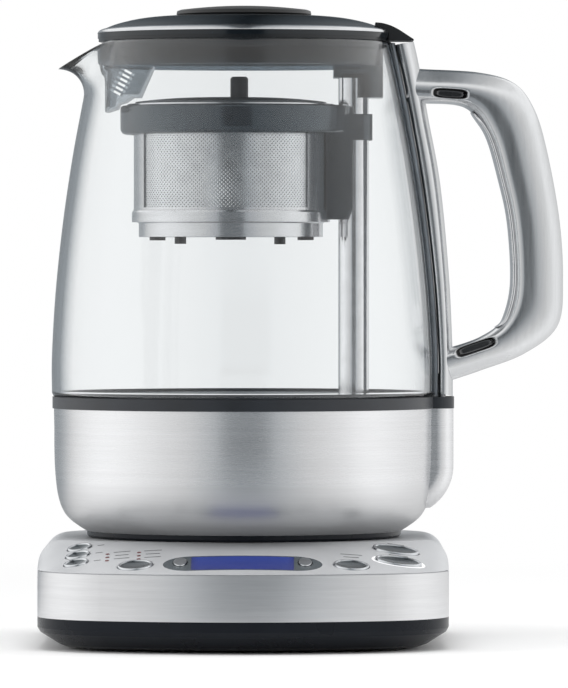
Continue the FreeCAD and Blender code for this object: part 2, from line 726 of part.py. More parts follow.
def make_post():
    """The polished post, closed at the top and open through the floor to the motor."""
    save("lift_post", tube(POST_RADIUS, POST_BORE, FLOOR_TOP, POST_TOP, POST_X))
    cap = cylinder(POST_RADIUS, POST_TOP, POST_TOP + 1.2, POST_X)
    cap = cap.fuse(cylinder(POST_BORE - 0.1, POST_TOP - 6, POST_TOP, POST_X))
    save("post_cap", cap.cut(cylinder(SCREW_RADIUS + RUNNING_GAP, POST_TOP - 7, POST_TOP - 1, POST_X)))
    bearing = cylinder(4.5, 100.4, 105.4, POST_X).fuse(cylinder(5.5, FLOOR_TOP, 106.4, POST_X))
    bearing = bearing.cut(cylinder(SCREW_RADIUS + RUNNING_GAP, 99, 108, POST_X))
    save("screw_bearing", bearing.removeSplitter())


def spine_side(half, inner_x):
    """The spine's side outline, filled inwards as far as inner_x."""
    foot = SPINE_CURVE[0]
    top = SPINE_CURVE[-1]
    closing = side_line(top, (inner_x, top[1]), (inner_x, foot[1]), foot)
    return side_prism([side_curve(SPINE_CURVE)] + closing, half)


def make_handle_spine():
    """The curved strip up the outside of the glass that carries the handle."""
    spine = spine_side(SPINE_HALF, 55)
    long_edges = [e for e in spine.Edges if e.BoundBox.XMin > 60 and e.BoundBox.ZLength > 100]
    spine = spine.makeFillet(3.0, long_edges).cut(glass_solid(PAD_THICK))
    for x, y in handle_screw_places():
        spine = spine.cut(cylinder(1.55, 100, 112.5, x, y))
    save("handle_spine", spine)
    pad = spine_side(SPINE_HALF - 1.5, 55).common(glass_solid(PAD_THICK - 0.05)).cut(glass_solid(0.05))
    save("spine_pad", pad)


def handle_profile():
    outer = side_curve(HANDLE_OUTER)
    inner = side_curve(HANDLE_INNER)
    ends = side_line(HANDLE_OUTER[-1], HANDLE_INNER[0]) + side_line(HANDLE_INNER[-1], HANDLE_OUTER[0])
    return [outer, inner] + ends


def make_handle():
    """The loop handle in two shells: the broad outer casting and the slim inner grip strip."""
    loop = side_prism(handle_profile(), HANDLE_HALF)
    long_edges = [e for e in loop.Edges if abs(e.BoundBox.YLength) < 0.01 and e.BoundBox.ZLength > 60]
    outer_edges = [e for e in long_edges if e.BoundBox.XMax > 120]
    loop = loop.makeFillet(HANDLE_OUTER_ROUND, outer_edges)
    inner_edges = [e for e in loop.Edges if e.BoundBox.XMax < 114 and e.BoundBox.ZLength > 60]
    loop = loop.makeFillet(HANDLE_INNER_ROUND, inner_edges)
    shifted_inner = shifted(HANDLE_INNER, GRIP_THICK)
    hole = [side_curve(shifted_inner)] + side_line(shifted_inner[-1], shifted_inner[0])
    strip_room = side_prism(hole, HANDLE_HALF + 1).common(block(96, 140, -20, 20, 132, 220))
    spine = spine_side(SPINE_HALF, 55)
    save("handle", loop.cut(spine).cut(strip_room))
    save("grip_strip", loop.common(strip_room))


# Jug lid


def make_lid_cover():
    """The domed cover, with a turned-down flange and a groove above it for the trim."""
    under = ((0, 262.0), (0, 259.4), (28.0, 259.4), (46.0, 257.6), (54.0, 255.2), (56.0, 254.0))
    flange = ((56.0, LID_EDGE_Z), (LID_RADIUS, LID_EDGE_Z), (LID_RADIUS, 254.4))
    groove = ((58.6, 254.4), (57.2, 255.6), LID_DOME[0])
    cover = turned([side_curve(LID_DOME)] + side_line(LID_DOME[-1], *under, *flange, *groove))
    save("lid_cover", cover.cut(cylinder(5.0, 258, 264)))


def make_lid_knob():
    """The rubber pad on top of the lid, held by a plug through the dome."""
    side = side_line((0, 262.0), (27.6, 262.0), (28.3, 262.6), (28.0, 263.9), (26.6, 264.4))
    crown = side_curve(((26.6, 264.4), (18.0, 265.3), (9.0, 265.9), (0, 266.0)))
    pad = turned(side + [crown] + side_line((0, 266.0), (0, 262.0)))
    save("lid_knob", pad.fuse(cylinder(4.9, 256.4, 262.0)).fuse(cylinder(8.0, 257.4, 259.4)).removeSplitter())


def make_lid_trim():
    """The bright half-round band on the lid's shoulder."""
    inside = ((57.9, 256.65), (57.3, 255.65), (58.65, 254.5), (61.4, 254.5))
    save("lid_trim", turned([side_curve(TRIM_CURVE)] + side_line(*inside)))


def make_lid_sleeve():
    """The smoky clear skirt under the lid, open below, with a guide block over the post."""
    sleeve = tube(SLEEVE_RADIUS, SLEEVE_RADIUS - 2.4, SLEEVE_BOTTOM, LID_EDGE_Z)
    roof = tube(55.95, 53.0, LID_EDGE_Z, 253.9)
    rim = tube(57.0, 53.0, 251.0, LID_EDGE_Z)
    guide = block(37.5, 60, -9, 9, GUIDE_BOTTOM, SLEEVE_BOTTOM + 1)
    tongue = block(48.8, 60, -9, 9, TONGUE_BOTTOM, GUIDE_BOTTOM + 1)
    inside = cylinder(SLEEVE_RADIUS, 220, 252)
    post_room = cylinder(POST_RADIUS + 0.6, 220, POST_TOP + 1.5, POST_X)
    body = sleeve.fuse([roof, rim, guide.common(inside), tongue.common(inside)]).cut(post_room)
    save("lid_sleeve", body.removeSplitter())


def make_lid_seal():
    """The rubber seal round the sleeve: a lip inside the glass and a flange over its rim."""
    inner = SLEEVE_RADIUS
    lip_radius = GLASS_CURVE[-1][0] - GLASS_WALL - 0.15
    lip = ((inner, 247.0), (lip_radius, 247.8), (lip_radius, 248.6), (inner + 0.4, 249.4))
    above_rim = GLASS_RIM + 0.1
    flange = ((inner + 0.4, above_rim), (60.9, above_rim), (60.9, LID_EDGE_Z), (inner, LID_EDGE_Z))
    save("lid_seal", turned_polygon(lip + flange))


def make_spout_screen():
    """The slotted strainer that hangs from the sleeve behind the spout."""
    top = SLEEVE_BOTTOM
    left = ((-57.6, top), (-58.2, 226.0), (-57.8, 221.4), (-53.0, 222.8))
    right = ((-52.2, 224.8), (-49.4, 225.6), (-46.4, 227.6), (-43.2, 227.6), (-37.5, top), (-57.6, top))
    inner_left = ((-56.2, top + 1), (-56.8, 226.2), (-56.6, 223.2), (-54.2, 224.0))
    inner_right = ((-53.3, 229.0), (-44.1, 229.0), (-38.2, top + 1), (-56.2, top + 1))
    body = side_prism(side_line(*left, *right), 13.0)
    body = body.cut(side_prism(side_line(*inner_left, *inner_right), 11.6))
    body = body.common(cylinder(SLEEVE_RADIUS - 0.1, 215, 250))
    lean = Rotation(Vector(0, 1, 0), SLOT_LEAN)
    for step in range(SLOT_COUNT):
        slot = block(-2.4, 2.4, -20.0, 20.0, -0.5, 0.5)
        slot.Placement = Placement(Vector(-53.3 + 0.93 * step, 0, 229.6 + 1.75 * step), lean)
        body = body.cut(slot)
    save("spout_screen", body)


def lid_outside():
    """The lid's outside with its trim, filled, a hair larger all round."""
    rim = (LID_RADIUS + 0.15, LID_EDGE_Z - 5)
    shoulder = ((57.85, 256.75), (59.85, 256.2), (61.1, 255.4), (61.5, 254.3))
    dome = shifted(LID_DOME, 0.05, 0.05)
    filled = side_line(dome[-1], (0, dome[-1][1]), (0, rim[1]), rim, *reversed(shoulder))
    return turned([side_curve(dome)] + filled)


def make_lid_tab():
    """The thumb tab that laps over the lid's rim and the top of the spine."""
    upper = ((55.0, 258.9), (58.5, 258.5), (63.0, 256.9), (67.5, 254.2), (71.0, 251.9))
    lower = ((71.0, 251.3), (60.0, 251.3), (55.0, 253.8), upper[0])
    tab = side_prism([side_curve(upper)] + side_line(upper[-1], *lower), SPINE_HALF)
    save("lid_tab", tab.cut(lid_outside()))


# Tea basket and its drive


def make_basket_collar():
    """The collar that holds the drum, in one piece with the arm and clip that run on the post."""
    low, high = COLLAR_Z
    collar = cylinder(COLLAR_RADIUS, low, high, COLLAR_X)
    lower_edge = [e for e in collar.Edges if abs(e.BoundBox.ZMax - low) < 0.01]
    upper_edge = [e for e in collar.Edges if abs(e.BoundBox.ZMin - high) < 0.01]
    collar = collar.makeFillet(2.5, lower_edge).makeFillet(1.2, upper_edge)
    arm = block(ARM_X[0], ARM_X[1], -ARM_HALF, ARM_HALF, ARM_BOTTOM, high - 1)
    lower_corner = [e for e in arm.Edges if abs(e.BoundBox.ZMax - ARM_BOTTOM) < 0.01 and e.BoundBox.XMin > 40]
    arm = arm.makeChamfer(4.0, lower_corner)
    clip = block(40, CLIP_OUTER_X, -ARM_HALF, ARM_HALF, CLIP_Z[0], CLIP_Z[1])
    clip_corners = [e for e in clip.Edges if e.BoundBox.XMin > 50 and e.BoundBox.ZLength > 5]
    holder = collar.fuse([arm, clip.makeFillet(4.0, clip_corners)])
    holder = holder.cut(cylinder(DRUM_RADIUS + 0.9, ARM_BOTTOM - 1, high + 1, BASKET_X))
    holder = holder.cut(cylinder(POST_RADIUS + 0.35, ARM_BOTTOM - 1, high + 1, POST_X))
    magnet_low, magnet_high = MAGNET_Z
    for y in (-MAGNET_Y, MAGNET_Y):
        holder = holder.cut(cylinder(MAGNET_RADIUS + RUNNING_GAP, magnet_low, magnet_high + 0.1, MAGNET_X, y))
    save("basket_collar", holder.removeSplitter())
    magnets = [cylinder(MAGNET_RADIUS, magnet_low, magnet_high, MAGNET_X, y) for y in (-MAGNET_Y, MAGNET_Y)]
    save("basket_magnets", Part.makeCompound(magnets))


def window_wedge(middle, outer, bottom, top):
    """A wedge about the basket's axis, to cut one of the drum's windows about the given angle."""
    wedge = Part.makeCylinder(outer, top - bottom, Vector(0, 0, bottom), Vector(0, 0, 1), WINDOW_SPREAD)
    wedge.rotate(Vector(0, 0, 0), Vector(0, 0, 1), middle - WINDOW_SPREAD / 2)
    wedge.translate(Vector(BASKET_X, 0, 0))
    return wedge


def make_basket_drum():
    """The steel drum with two wide windows, and the fine perforated screen inside it."""
    top = COLLAR_Z[1]
    wall = tube(DRUM_RADIUS, DRUM_RADIUS - DRUM_WALL, DRUM_BOTTOM - 0.5, top, BASKET_X)
    drum = wall.fuse(tube(DRUM_RADIUS + 2.6, DRUM_RADIUS - DRUM_WALL, top, top + 0.7, BASKET_X))
    for middle in (-WINDOW_MIDDLE, WINDOW_MIDDLE):
        drum = drum.cut(window_wedge(middle, DRUM_RADIUS + 1, *WINDOW_Z))
    save("basket_drum", drum)
    screen_top = WINDOW_Z[1] + 1.5
    save("basket_screen", tube(DRUM_RADIUS - 0.65, DRUM_RADIUS - 1.0, DRUM_BOTTOM, screen_top, BASKET_X))


def make_basket_base():
    """The stepped bottom of the basket with its four small nubs."""
    top = DRUM_BOTTOM - 0.6
    floor = TIER_Z + 1.0
    ring = ((BASE_RING_RADIUS, BASE_RING_Z), (BASE_RING_RADIUS, top - 0.8), (41.0, top), (TIER_RADIUS, top))
    well = TIER_RADIUS - 1.4
    ledge = ((TIER_RADIUS, BASE_RING_Z + 1.2), (well, BASE_RING_Z + 0.6))
    inside = ledge + ((well, floor), (0, floor), (0, TIER_Z))
    tier = ((TIER_RADIUS, TIER_Z), (TIER_RADIUS, BASE_RING_Z - 0.6), (39.4, BASE_RING_Z))
    base = turned_polygon(ring + inside + tier, BASKET_X)
    save("basket_base", base)
    nubs = [cylinder(6.4, TIER_Z - 1.2, TIER_Z, BASKET_X)]
    for angle, radius, bottom in NUBS:
        x = BASKET_X + NUB_CIRCLE * math.cos(math.radians(angle))
        y = NUB_CIRCLE * math.sin(math.radians(angle))
        nubs.append(cylinder(radius, bottom, TIER_Z, x, y))
    save("basket_nubs", Part.makeCompound(nubs))


def make_basket_lid():
    dome = ((BASKET_LID_RADIUS, 225.6), (30.0, 226.7), (16.0, 227.4))
    flat = ((0, 227.4), (0, BASKET_LID_Z), (BASKET_LID_RADIUS, BASKET_LID_Z), (BASKET_LID_RADIUS, 225.6))
    lid = turned([side_curve(dome)] + side_line(dome[-1], *flat), BASKET_X)
    save("basket_lid", lid.cut(cylinder(3.85, 226.0, 230.0, BASKET_KNOB_X)))
    foot = BASKET_LID_Z + 1.25
    side = ((3.75, foot), (3.75, BASKET_KNOB_TOP - 0.9), (3.0, BASKET_KNOB_TOP))
    grip = ((0, foot),) + side + ((0, BASKET_KNOB_TOP),)
    save("basket_lid_knob", turned_polygon(grip, BASKET_KNOB_X))


def make_carriage():
    """The nut inside the post, whose magnets pull the basket along."""
    low, high = CARRIAGE_Z
    body = cylinder(CARRIAGE_RADIUS, low, high, POST_X)
    body = body.cut(cylinder(SCREW_RADIUS + 0.08, low - 1, high + 1, POST_X))
    pockets = [block(POST_X - 4.8, POST_X - 2.8, -1.8, 1.8, low + 3, low + 11)]
    pockets.append(block(POST_X - 4.8, POST_X - 2.8, -1.8, 1.8, high - 11, high - 3))
    body = body.cut(pockets)
    save("magnet_carriage", body)
    save("carriage_magnets", Part.makeCompound(pockets))


def make_lead_screw():
    save("lead_screw", cylinder(SCREW_RADIUS, 84.0, POST_TOP - 1.6, POST_X))


os.makedirs("parts", exist_ok=True)
make_base_tray()
make_rubber_feet()
make_base_screws()
make_front_band()
make_top_deck()
make_base_socket()
make_contact_rings()
make_control_board()
make_display()
make_lit_ring()
make_indicator_lamps()
make_buttons()
make_cord_gland()
make_power_board()
make_glass_jug()
make_steel_bowl()
make_foot_cover()
make_jug_screws()
make_jug_connector()
make_seam_ring()
make_floor_plate()
make_floor_seal()
make_heating_element()
make_temperature_sensor()
make_gear_motor()
make_post()
make_handle_spine()
make_handle()
make_lid_cover()
make_lid_knob()
make_lid_trim()
make_lid_sleeve()
make_lid_seal()
make_spout_screen()
make_lid_tab()
make_basket_collar()
make_basket_drum()
make_basket_base()
make_basket_lid()
make_carriage()
make_lead_screw()
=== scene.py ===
import math
import bpy
from mathutils import Matrix, Vector


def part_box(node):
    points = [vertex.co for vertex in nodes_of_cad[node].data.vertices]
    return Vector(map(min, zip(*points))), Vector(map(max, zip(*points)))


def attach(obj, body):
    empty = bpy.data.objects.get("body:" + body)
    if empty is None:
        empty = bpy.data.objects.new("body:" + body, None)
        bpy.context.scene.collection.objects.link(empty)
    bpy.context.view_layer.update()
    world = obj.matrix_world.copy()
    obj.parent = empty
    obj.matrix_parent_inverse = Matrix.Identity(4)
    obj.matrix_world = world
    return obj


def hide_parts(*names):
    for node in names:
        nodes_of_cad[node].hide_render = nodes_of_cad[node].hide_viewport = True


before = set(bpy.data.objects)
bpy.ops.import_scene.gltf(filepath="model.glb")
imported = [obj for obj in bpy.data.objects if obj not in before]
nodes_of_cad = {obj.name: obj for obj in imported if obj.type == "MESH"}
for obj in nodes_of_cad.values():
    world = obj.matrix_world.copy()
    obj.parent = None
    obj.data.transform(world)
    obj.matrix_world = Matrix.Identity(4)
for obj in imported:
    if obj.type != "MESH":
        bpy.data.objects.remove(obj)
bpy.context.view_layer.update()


def start_finish(name):
    """A new material, with its nodes, its links and its main shader."""
    finish = bpy.data.materials.new(name)
    finish.use_nodes = True
    tree = finish.node_tree
    return finish, tree.nodes, tree.links, tree.nodes["Principled BSDF"]


def set_shader(shader, **values):
    """Sets plain numbers and colours on the shader's own sockets."""
    for socket, value in values.items():
        shader.inputs[socket.replace("_", " ")].default_value = value


def speckle(nodes, links, scale, detail=3.0, source=None):
    """A noise texture over the piece, read at its object coordinates."""
    if source is None:
        source = nodes.new("ShaderNodeTexCoord").outputs["Object"]
    noise = nodes.new("ShaderNodeTexNoise")
    noise.inputs["Scale"].default_value = scale
    noise.inputs["Detail"].default_value = detail
    links.new(source, noise.inputs["Vector"])
    return noise.outputs["Fac"]


def two_tones(nodes, links, source, dark, light, low=0.3, high=0.7):
    """Blends between two colours where the source goes from low to high."""
    ramp = nodes.new("ShaderNodeValToRGB")
    ramp.color_ramp.elements[0].position = low
    ramp.color_ramp.elements[1].position = high
    ramp.color_ramp.elements[0].color = (*dark, 1)
    ramp.color_ramp.elements[1].color = (*light, 1)
    links.new(source, ramp.inputs["Fac"])
    return ramp.outputs["Color"]


def spread(nodes, links, source, low, high):
    """Maps a 0 to 1 pattern to the range from low to high."""
    limits = nodes.new("ShaderNodeMapRange")
    limits.inputs["To Min"].default_value = low
    limits.inputs["To Max"].default_value = high
    links.new(source, limits.inputs["Value"])
    return limits.outputs["Result"]


def roughen(nodes, links, shader, source, height, strength=1.0):
    """Gives the surface the relief of a pattern, height metres deep."""
    bump = nodes.new("ShaderNodeBump")
    bump.inputs["Distance"].default_value = height
    bump.inputs["Strength"].default_value = strength
    links.new(source, bump.inputs["Height"])
    links.new(bump.outputs["Normal"], shader.inputs["Normal"])


def moulded(name, colour, roughness, grain=0.00003, mottle=0.12):
    """Moulded plastic: a faint mottle in the colour, uneven gloss and the fine grain of the mould."""
    finish, nodes, links, shader = start_finish(name)
    cloud = speckle(nodes, links, 60.0)
    dark = [c * (1 - mottle) for c in colour]
    light = [min(1.0, c * (1 + mottle)) for c in colour]
    links.new(two_tones(nodes, links, cloud, dark, light), shader.inputs["Base Color"])
    links.new(spread(nodes, links, cloud, roughness - 0.05, roughness + 0.05), shader.inputs["Roughness"])
    roughen(nodes, links, shader, speckle(nodes, links, 2600.0, 2.0), grain)
    return finish


def dress(finish, *names):
    """Gives CAD nodes a finish."""
    for name in names:
        mesh = nodes_of_cad[name].data
        mesh.materials.clear()
        mesh.materials.append(finish)


tray_black = moulded("tray_black", (0.007, 0.009, 0.013), 0.28, 0.000012)
set_shader(tray_black.node_tree.nodes["Principled BSDF"], Specular_IOR_Level=0.16)
dress(tray_black, "base_tray", "foot_cover", "base_socket", "jug_connector")


# Feet and bush: black silicone rubber with a dry, slightly dusty skin. The feet are pressed into
# recesses of the tray, and the cord bush is clamped in the rear wall by its nut.
def rubber(name, colour, roughness):
    """Rubber, with a coarser grain than plastic and a faint sheen."""
    finish = moulded(name, colour, roughness, 0.00006, 0.2)
    set_shader(finish.node_tree.nodes["Principled BSDF"], Sheen_Weight=0.1, Sheen_Roughness=0.5)
    return finish


black_rubber = rubber("black_rubber", (0.012, 0.013, 0.015), 0.5)
dress(black_rubber, "rubber_feet", "cord_gland")


# Screws: plated steel, turned, with a slot across the head. They sit deep in their bosses and
# show only from below.
def polished(name, colour, roughness):
    """Polished metal with faint clouds in its gloss, as a wiped surface has."""
    finish, nodes, links, shader = start_finish(name)
    cloud = speckle(nodes, links, 160.0)
    dark = [c * 0.95 for c in colour]
    light = [min(1.0, c * 1.04) for c in colour]
    links.new(two_tones(nodes, links, cloud, dark, light), shader.inputs["Base Color"])
    links.new(spread(nodes, links, cloud, roughness * 0.7, roughness * 1.4), shader.inputs["Roughness"])
    roughen(nodes, links, shader, speckle(nodes, links, 900.0), 0.000004)
    set_shader(shader, Metallic=1.0)
    return finish


dress(polished("screw_steel", (0.5, 0.5, 0.52), 0.3), "base_screws", "jug_screws", "lead_screw")


# Front band: a strip of stainless steel, brushed along its length and bent round the bowed front.
# It lies in a shallow step of the deck, with a shadow gap all round.
def parts_of_place(nodes, links):
    """The object coordinates as separate X, Y and Z sockets."""
    parts = nodes.new("ShaderNodeSeparateXYZ")
    links.new(nodes.new("ShaderNodeTexCoord").outputs["Object"], parts.inputs["Vector"])
    return parts.outputs


def reckon(nodes, links, operation, first, second=None):
    """One step of arithmetic between sockets or numbers."""
    step = nodes.new("ShaderNodeMath")
    step.operation = operation
    for socket, value in zip(step.inputs, (first, second)):
        if value is None:
            continue
        if isinstance(value, (int, float)):
            socket.default_value = value
        else:
            links.new(value, socket)
    return step.outputs[0]


def brushed(name, colour, roughness, stretch=(0.03, 1, 1), round_axis=None, gloss_spread=0.6, contrast=0.12):
    """Brushed metal, its lines round the upright axis at round_axis or drawn out by stretch."""
    finish, nodes, links, shader = start_finish(name)
    place = parts_of_place(nodes, links)
    joined = nodes.new("ShaderNodeCombineXYZ")
    if round_axis is None:
        for axis, factor in zip("XYZ", stretch):
            links.new(reckon(nodes, links, "MULTIPLY", place[axis], factor), joined.inputs[axis])
    else:
        across = reckon(nodes, links, "SUBTRACT", place["X"], round_axis)
        towards = reckon(nodes, links, "MULTIPLY", place["Y"], -1.0)
        angle = reckon(nodes, links, "ARCTAN2", across, towards)
        links.new(reckon(nodes, links, "MULTIPLY", angle, 0.0016), joined.inputs["X"])
        links.new(place["Z"], joined.inputs["Z"])
        tangent = nodes.new("ShaderNodeTangent")
        tangent.direction_type = "RADIAL"
        tangent.axis = "Z"
        links.new(tangent.outputs["Tangent"], shader.inputs["Tangent"])
    fine = speckle(nodes, links, 2600.0, 4.0, joined.outputs["Vector"])
    broad = speckle(nodes, links, 570.0, 2.0, joined.outputs["Vector"])
    lines = reckon(nodes, links, "MULTIPLY", reckon(nodes, links, "ADD", fine, broad), 0.5)
    dark = [c * (1 - contrast) for c in colour]
    light = [min(1.0, c * (1 + contrast * 0.8)) for c in colour]
    links.new(two_tones(nodes, links, lines, dark, light), shader.inputs["Base Color"])
    links.new(spread(nodes, links, lines, roughness - 0.06, roughness + 0.06), shader.inputs["Roughness"])
    roughen(nodes, links, shader, lines, 0.00002, 0.5)
    set_shader(shader, Metallic=1.0, Anisotropic=gloss_spread, Anisotropic_Rotation=0.25)
    return finish


band_steel = brushed(
    "band_steel", (0.72, 0.725, 0.735), 0.3, stretch=(0.03, 0.03, 1), gloss_spread=0.2, contrast=0.06
)
dress(band_steel, "front_band")


# Top deck: the silver shell of the base, moulded and sprayed with a fine metallic paint. Its panel
# slopes down to the bowed front edge and is pierced for the buttons, the lamps and the display.
deck_silver = moulded("deck_silver", (0.62, 0.63, 0.645), 0.4, 0.000008, 0.03)
set_shader(deck_silver.node_tree.nodes["Principled BSDF"], Metallic=0.35)
dress(deck_silver, "top_deck")


# Panel marks: short dashes and ticks printed on the panel in dark grey beside the controls. Each
# is a thin rounded pad of ink that lies on the sloping, curved surface, and a mark is its x, its y
# and its length.
MM = 0.001
INK_THICK = 0.03
INK_WIDE = 0.8
LOOK_FROM = 0.1
MARKS = (
    (-49.5, -70.5, 7.0), (-49.5, -75.5, 5.5), (-49.5, -80.5, 6.4),
    (-36.8, -72.0, 7.4), (-36.8, -77.0, 6.0), (-36.8, -82.0, 6.8),
    (44.2, -76.5, 9.0), (44.2, -80.5, 6.5),
    (63.6, -71.0, 8.0), (62.8, -54.0, 7.0),
    (-58.5, -57.0, 3.0), (-59.0, -68.4, 3.0), (-59.4, -80.2, 3.0),
)


def joined_piece(name, pieces, finish, body):
    """Joins pieces into one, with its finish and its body."""
    bpy.ops.object.select_all(action="DESELECT")
    for piece in pieces:
        piece.select_set(True)
    bpy.context.view_layer.objects.active = pieces[0]
    if len(pieces) > 1:
        bpy.ops.object.join()
    piece = bpy.context.object
    bpy.ops.object.transform_apply(location=True, rotation=True, scale=True)
    piece.name = name
    piece.data.materials.clear()
    piece.data.materials.append(finish)
    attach(piece, body)
    return piece


def spot_on(name, x, y):
    """Where a look straight down meets a CAD node, and its directions across and up there."""
    found = nodes_of_cad[name].ray_cast(Vector((x * MM, y * MM, LOOK_FROM)), Vector((0, 0, -1)))
    up = found[2]
    across = (Vector((1, 0, 0)) - up * up.x).normalized()
    return found[1], across, up


def printed_dash(x, y, length):
    """A pad of ink with round ends on the panel."""
    spot, across, up = spot_on("top_deck", x, y)
    lie = Matrix((across, up.cross(across), up)).transposed().to_euler()
    bpy.ops.object.select_all(action="DESELECT")
    bpy.ops.mesh.primitive_plane_add(size=1, location=spot, rotation=lie)
    dash = bpy.context.object
    dash.scale = (length * MM, INK_WIDE * MM, 1)
    bpy.ops.object.transform_apply(location=False, rotation=False, scale=True)
    bpy.ops.object.mode_set(mode="EDIT")
    bpy.ops.mesh.select_all(action="SELECT")
    bpy.ops.mesh.bevel(offset=INK_WIDE * 0.45 * MM, segments=3, affect="VERTICES")
    bpy.ops.mesh.extrude_region_move(TRANSFORM_OT_translate={"value": up * INK_THICK * MM})
    bpy.ops.object.mode_set(mode="OBJECT")
    return dash


ink_grey = moulded("ink_grey", (0.06, 0.065, 0.07), 0.5, 0.00001, 0.1)
dashes = [printed_dash(*mark) for mark in MARKS]
joined_piece("panel_marks", dashes, ink_grey, "power_base")


# Display: a smoked surround with half-round ends, a clear blue window lit from behind, and the
# light module under it. The window's glow fades towards its sides and its front.
SIDE_FADE = 8.0

dress(moulded("surround_grey", (0.06, 0.075, 0.085), 0.22, 0.00001, 0.06), "display_surround")
window_low, window_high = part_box("display_window")
half_wide = (window_high[0] - window_low[0]) / 2
window_deep = window_high[1] - window_low[1]
window_blue, nodes, links, shader = start_finish("window_blue")
place = parts_of_place(nodes, links)
sideways = reckon(nodes, links, "ABSOLUTE", reckon(nodes, links, "DIVIDE", place["X"], half_wide))
from_side = reckon(nodes, links, "MULTIPLY", reckon(nodes, links, "SUBTRACT", 1.0, sideways), SIDE_FADE)
fade = reckon(nodes, links, "SMOOTH_MIN", from_side, 1.0)
from_front = reckon(nodes, links, "SUBTRACT", place["Y"], window_low[1])
backwards = reckon(nodes, links, "DIVIDE", from_front, window_deep)
glow = two_tones(nodes, links, backwards, (0.006, 0.03, 0.2), (0.012, 0.07, 0.42), 0.05, 0.9)
tint = two_tones(nodes, links, speckle(nodes, links, 90.0), (0.01, 0.015, 0.12), (0.014, 0.02, 0.16))
links.new(glow, shader.inputs["Emission Color"])
links.new(spread(nodes, links, fade, 0.1, 0.3), shader.inputs["Emission Strength"])
links.new(tint, shader.inputs["Base Color"])
set_shader(shader, Roughness=0.08, Specular_IOR_Level=0.2)
dress(window_blue, "display_window", "display_module")


# Lamps and light ring: clear and white diffusers, moulded, each lit by a diode on the board. The
# ring round the start button glows white and the small lamps are dim red.
lit_white, nodes, links, shader = start_finish("lit_white")
cloud = speckle(nodes, links, 300.0)
links.new(two_tones(nodes, links, cloud, (0.82, 0.83, 0.84), (0.9, 0.9, 0.91)), shader.inputs["Base Color"])
links.new(spread(nodes, links, cloud, 0.25, 0.4), shader.inputs["Emission Strength"])
set_shader(shader, Emission_Color=(1, 1, 1, 1), Roughness=0.3)
dress(lit_white, "lit_ring")
dress(moulded("lamp_red", (0.16, 0.04, 0.04), 0.2), "indicator_lamps")


# Buttons: chromed caps, moulded in one piece with the flange that keeps each in its hole and the
# stem over its switch. The arrows are flat, and the others have a rim round a dished face, darker as
# a painted reflection. Each has its place, x and y, and its half sizes. Rings are heights over the crown, in
# mm.
BUTTONS = {
    "button_upper_left": (-67.4, -56.6, 5.1, 5.1), "button_middle_left": (-67.8, -68.0, 5.1, 5.1),
    "button_lower_left": (-68.2, -79.8, 5.1, 5.1), "button_round_left": (-43.7, -93.6, 7.3, 7.3),
    "button_round_right": (44.2, -93.2, 7.3, 7.3), "button_start": (63.6, -79.6, 9.6, 6.6),
    "button_lift": (62.8, -62.6, 9.6, 6.6)
}
FLANGE = (1.0, 0.5)
STEM_RADIUS = 1.4
STEM_RINGS = (-6.8, -5.0)
FLANGE_RINGS = (-5.0, -4.0)
FACE_RINGS = ((0.0, -4.0), (0.0, -0.3), (0.12, -0.06), (0.4, 0.06), (0.9, 0.0), (1.3, -0.35))
DISH_RINGS = ((0.75, -0.8), (0.5, -1.1), (0.25, -1.25), (0.04, -1.3))


def dished_button(name, x, y, half_x, half_y):
    """A button with its stem, its flange and its dished face, square to the panel, and the places
    of the dish among its faces."""
    rings = [(STEM_RADIUS, STEM_RADIUS, height) for height in STEM_RINGS]
    rings += [(half_x + FLANGE[0], half_y + FLANGE[1], height) for height in FLANGE_RINGS]
    rings += [(half_x - inset, half_y - inset, height) for inset, height in FACE_RINGS]
    dish_x, dish_y, _ = rings[-1]
    rings += [(dish_x * share, dish_y * share, height) for share, height in DISH_RINGS]
    spot, across, up = spot_on(name, x, y)
    bpy.ops.object.select_all(action="DESELECT")
    bpy.ops.mesh.primitive_circle_add(vertices=64, radius=1, fill_type="NGON", location=(0, 0, 0))
    cap = bpy.context.object
    bpy.ops.object.mode_set(mode="EDIT")
    bpy.ops.mesh.select_all(action="SELECT")
    for ring in rings[1:]:
        bpy.ops.mesh.extrude_region_move(TRANSFORM_OT_translate={"value": (0, 0, 1)})
    bpy.ops.object.mode_set(mode="OBJECT")
    corners = cap.data.vertices
    dish_from = len(rings) - len(DISH_RINGS) - 1.5
    dish = [
        face.index for face in cap.data.polygons
        if min(corners[corner].co.z for corner in face.vertices) > dish_from
    ]
    for vertex in corners:
        wide, deep, height = rings[round(vertex.co.z)]
        aside = across * vertex.co.x * wide + up.cross(across) * vertex.co.y * deep
        vertex.co = spot + (aside + up * height) * MM
    bpy.ops.object.mode_set(mode="EDIT")
    bpy.ops.mesh.select_all(action="SELECT")
    bpy.ops.mesh.normals_make_consistent(inside=False)
    bpy.ops.object.mode_set(mode="OBJECT")
    bpy.ops.object.shade_smooth_by_angle(angle=math.radians(60))
    return cap, dish


button_chrome = polished("button_chrome", (0.62, 0.64, 0.66), 0.14)
dish_painted_reflection = polished("dish_painted_reflection", (0.13, 0.145, 0.155), 0.2)
dress(button_chrome, "button_arrow_left", "button_arrow_right")
for name, (x, y, half_x, half_y) in BUTTONS.items():
    cap, dish = dished_button(name, x, y, half_x, half_y)
    cap = joined_piece(name + "_cap", [cap], button_chrome, name)
    # Painted reflection: the dish faces take the darker finish.
    cap.data.materials.append(dish_painted_reflection)
    for face in dish:
        cap.data.polygons[face].material_index = 1
    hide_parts(name)


# Inside of the base: green circuit boards with plain blocks for their parts, and brass contact
# rings in the socket. They are seen only when the jug or the base is opened.
dress(moulded("board_green", (0.03, 0.16, 0.08), 0.5), "control_board", "power_board")
dress(polished("contact_brass", (0.8, 0.6, 0.3), 0.25), "contact_rings")
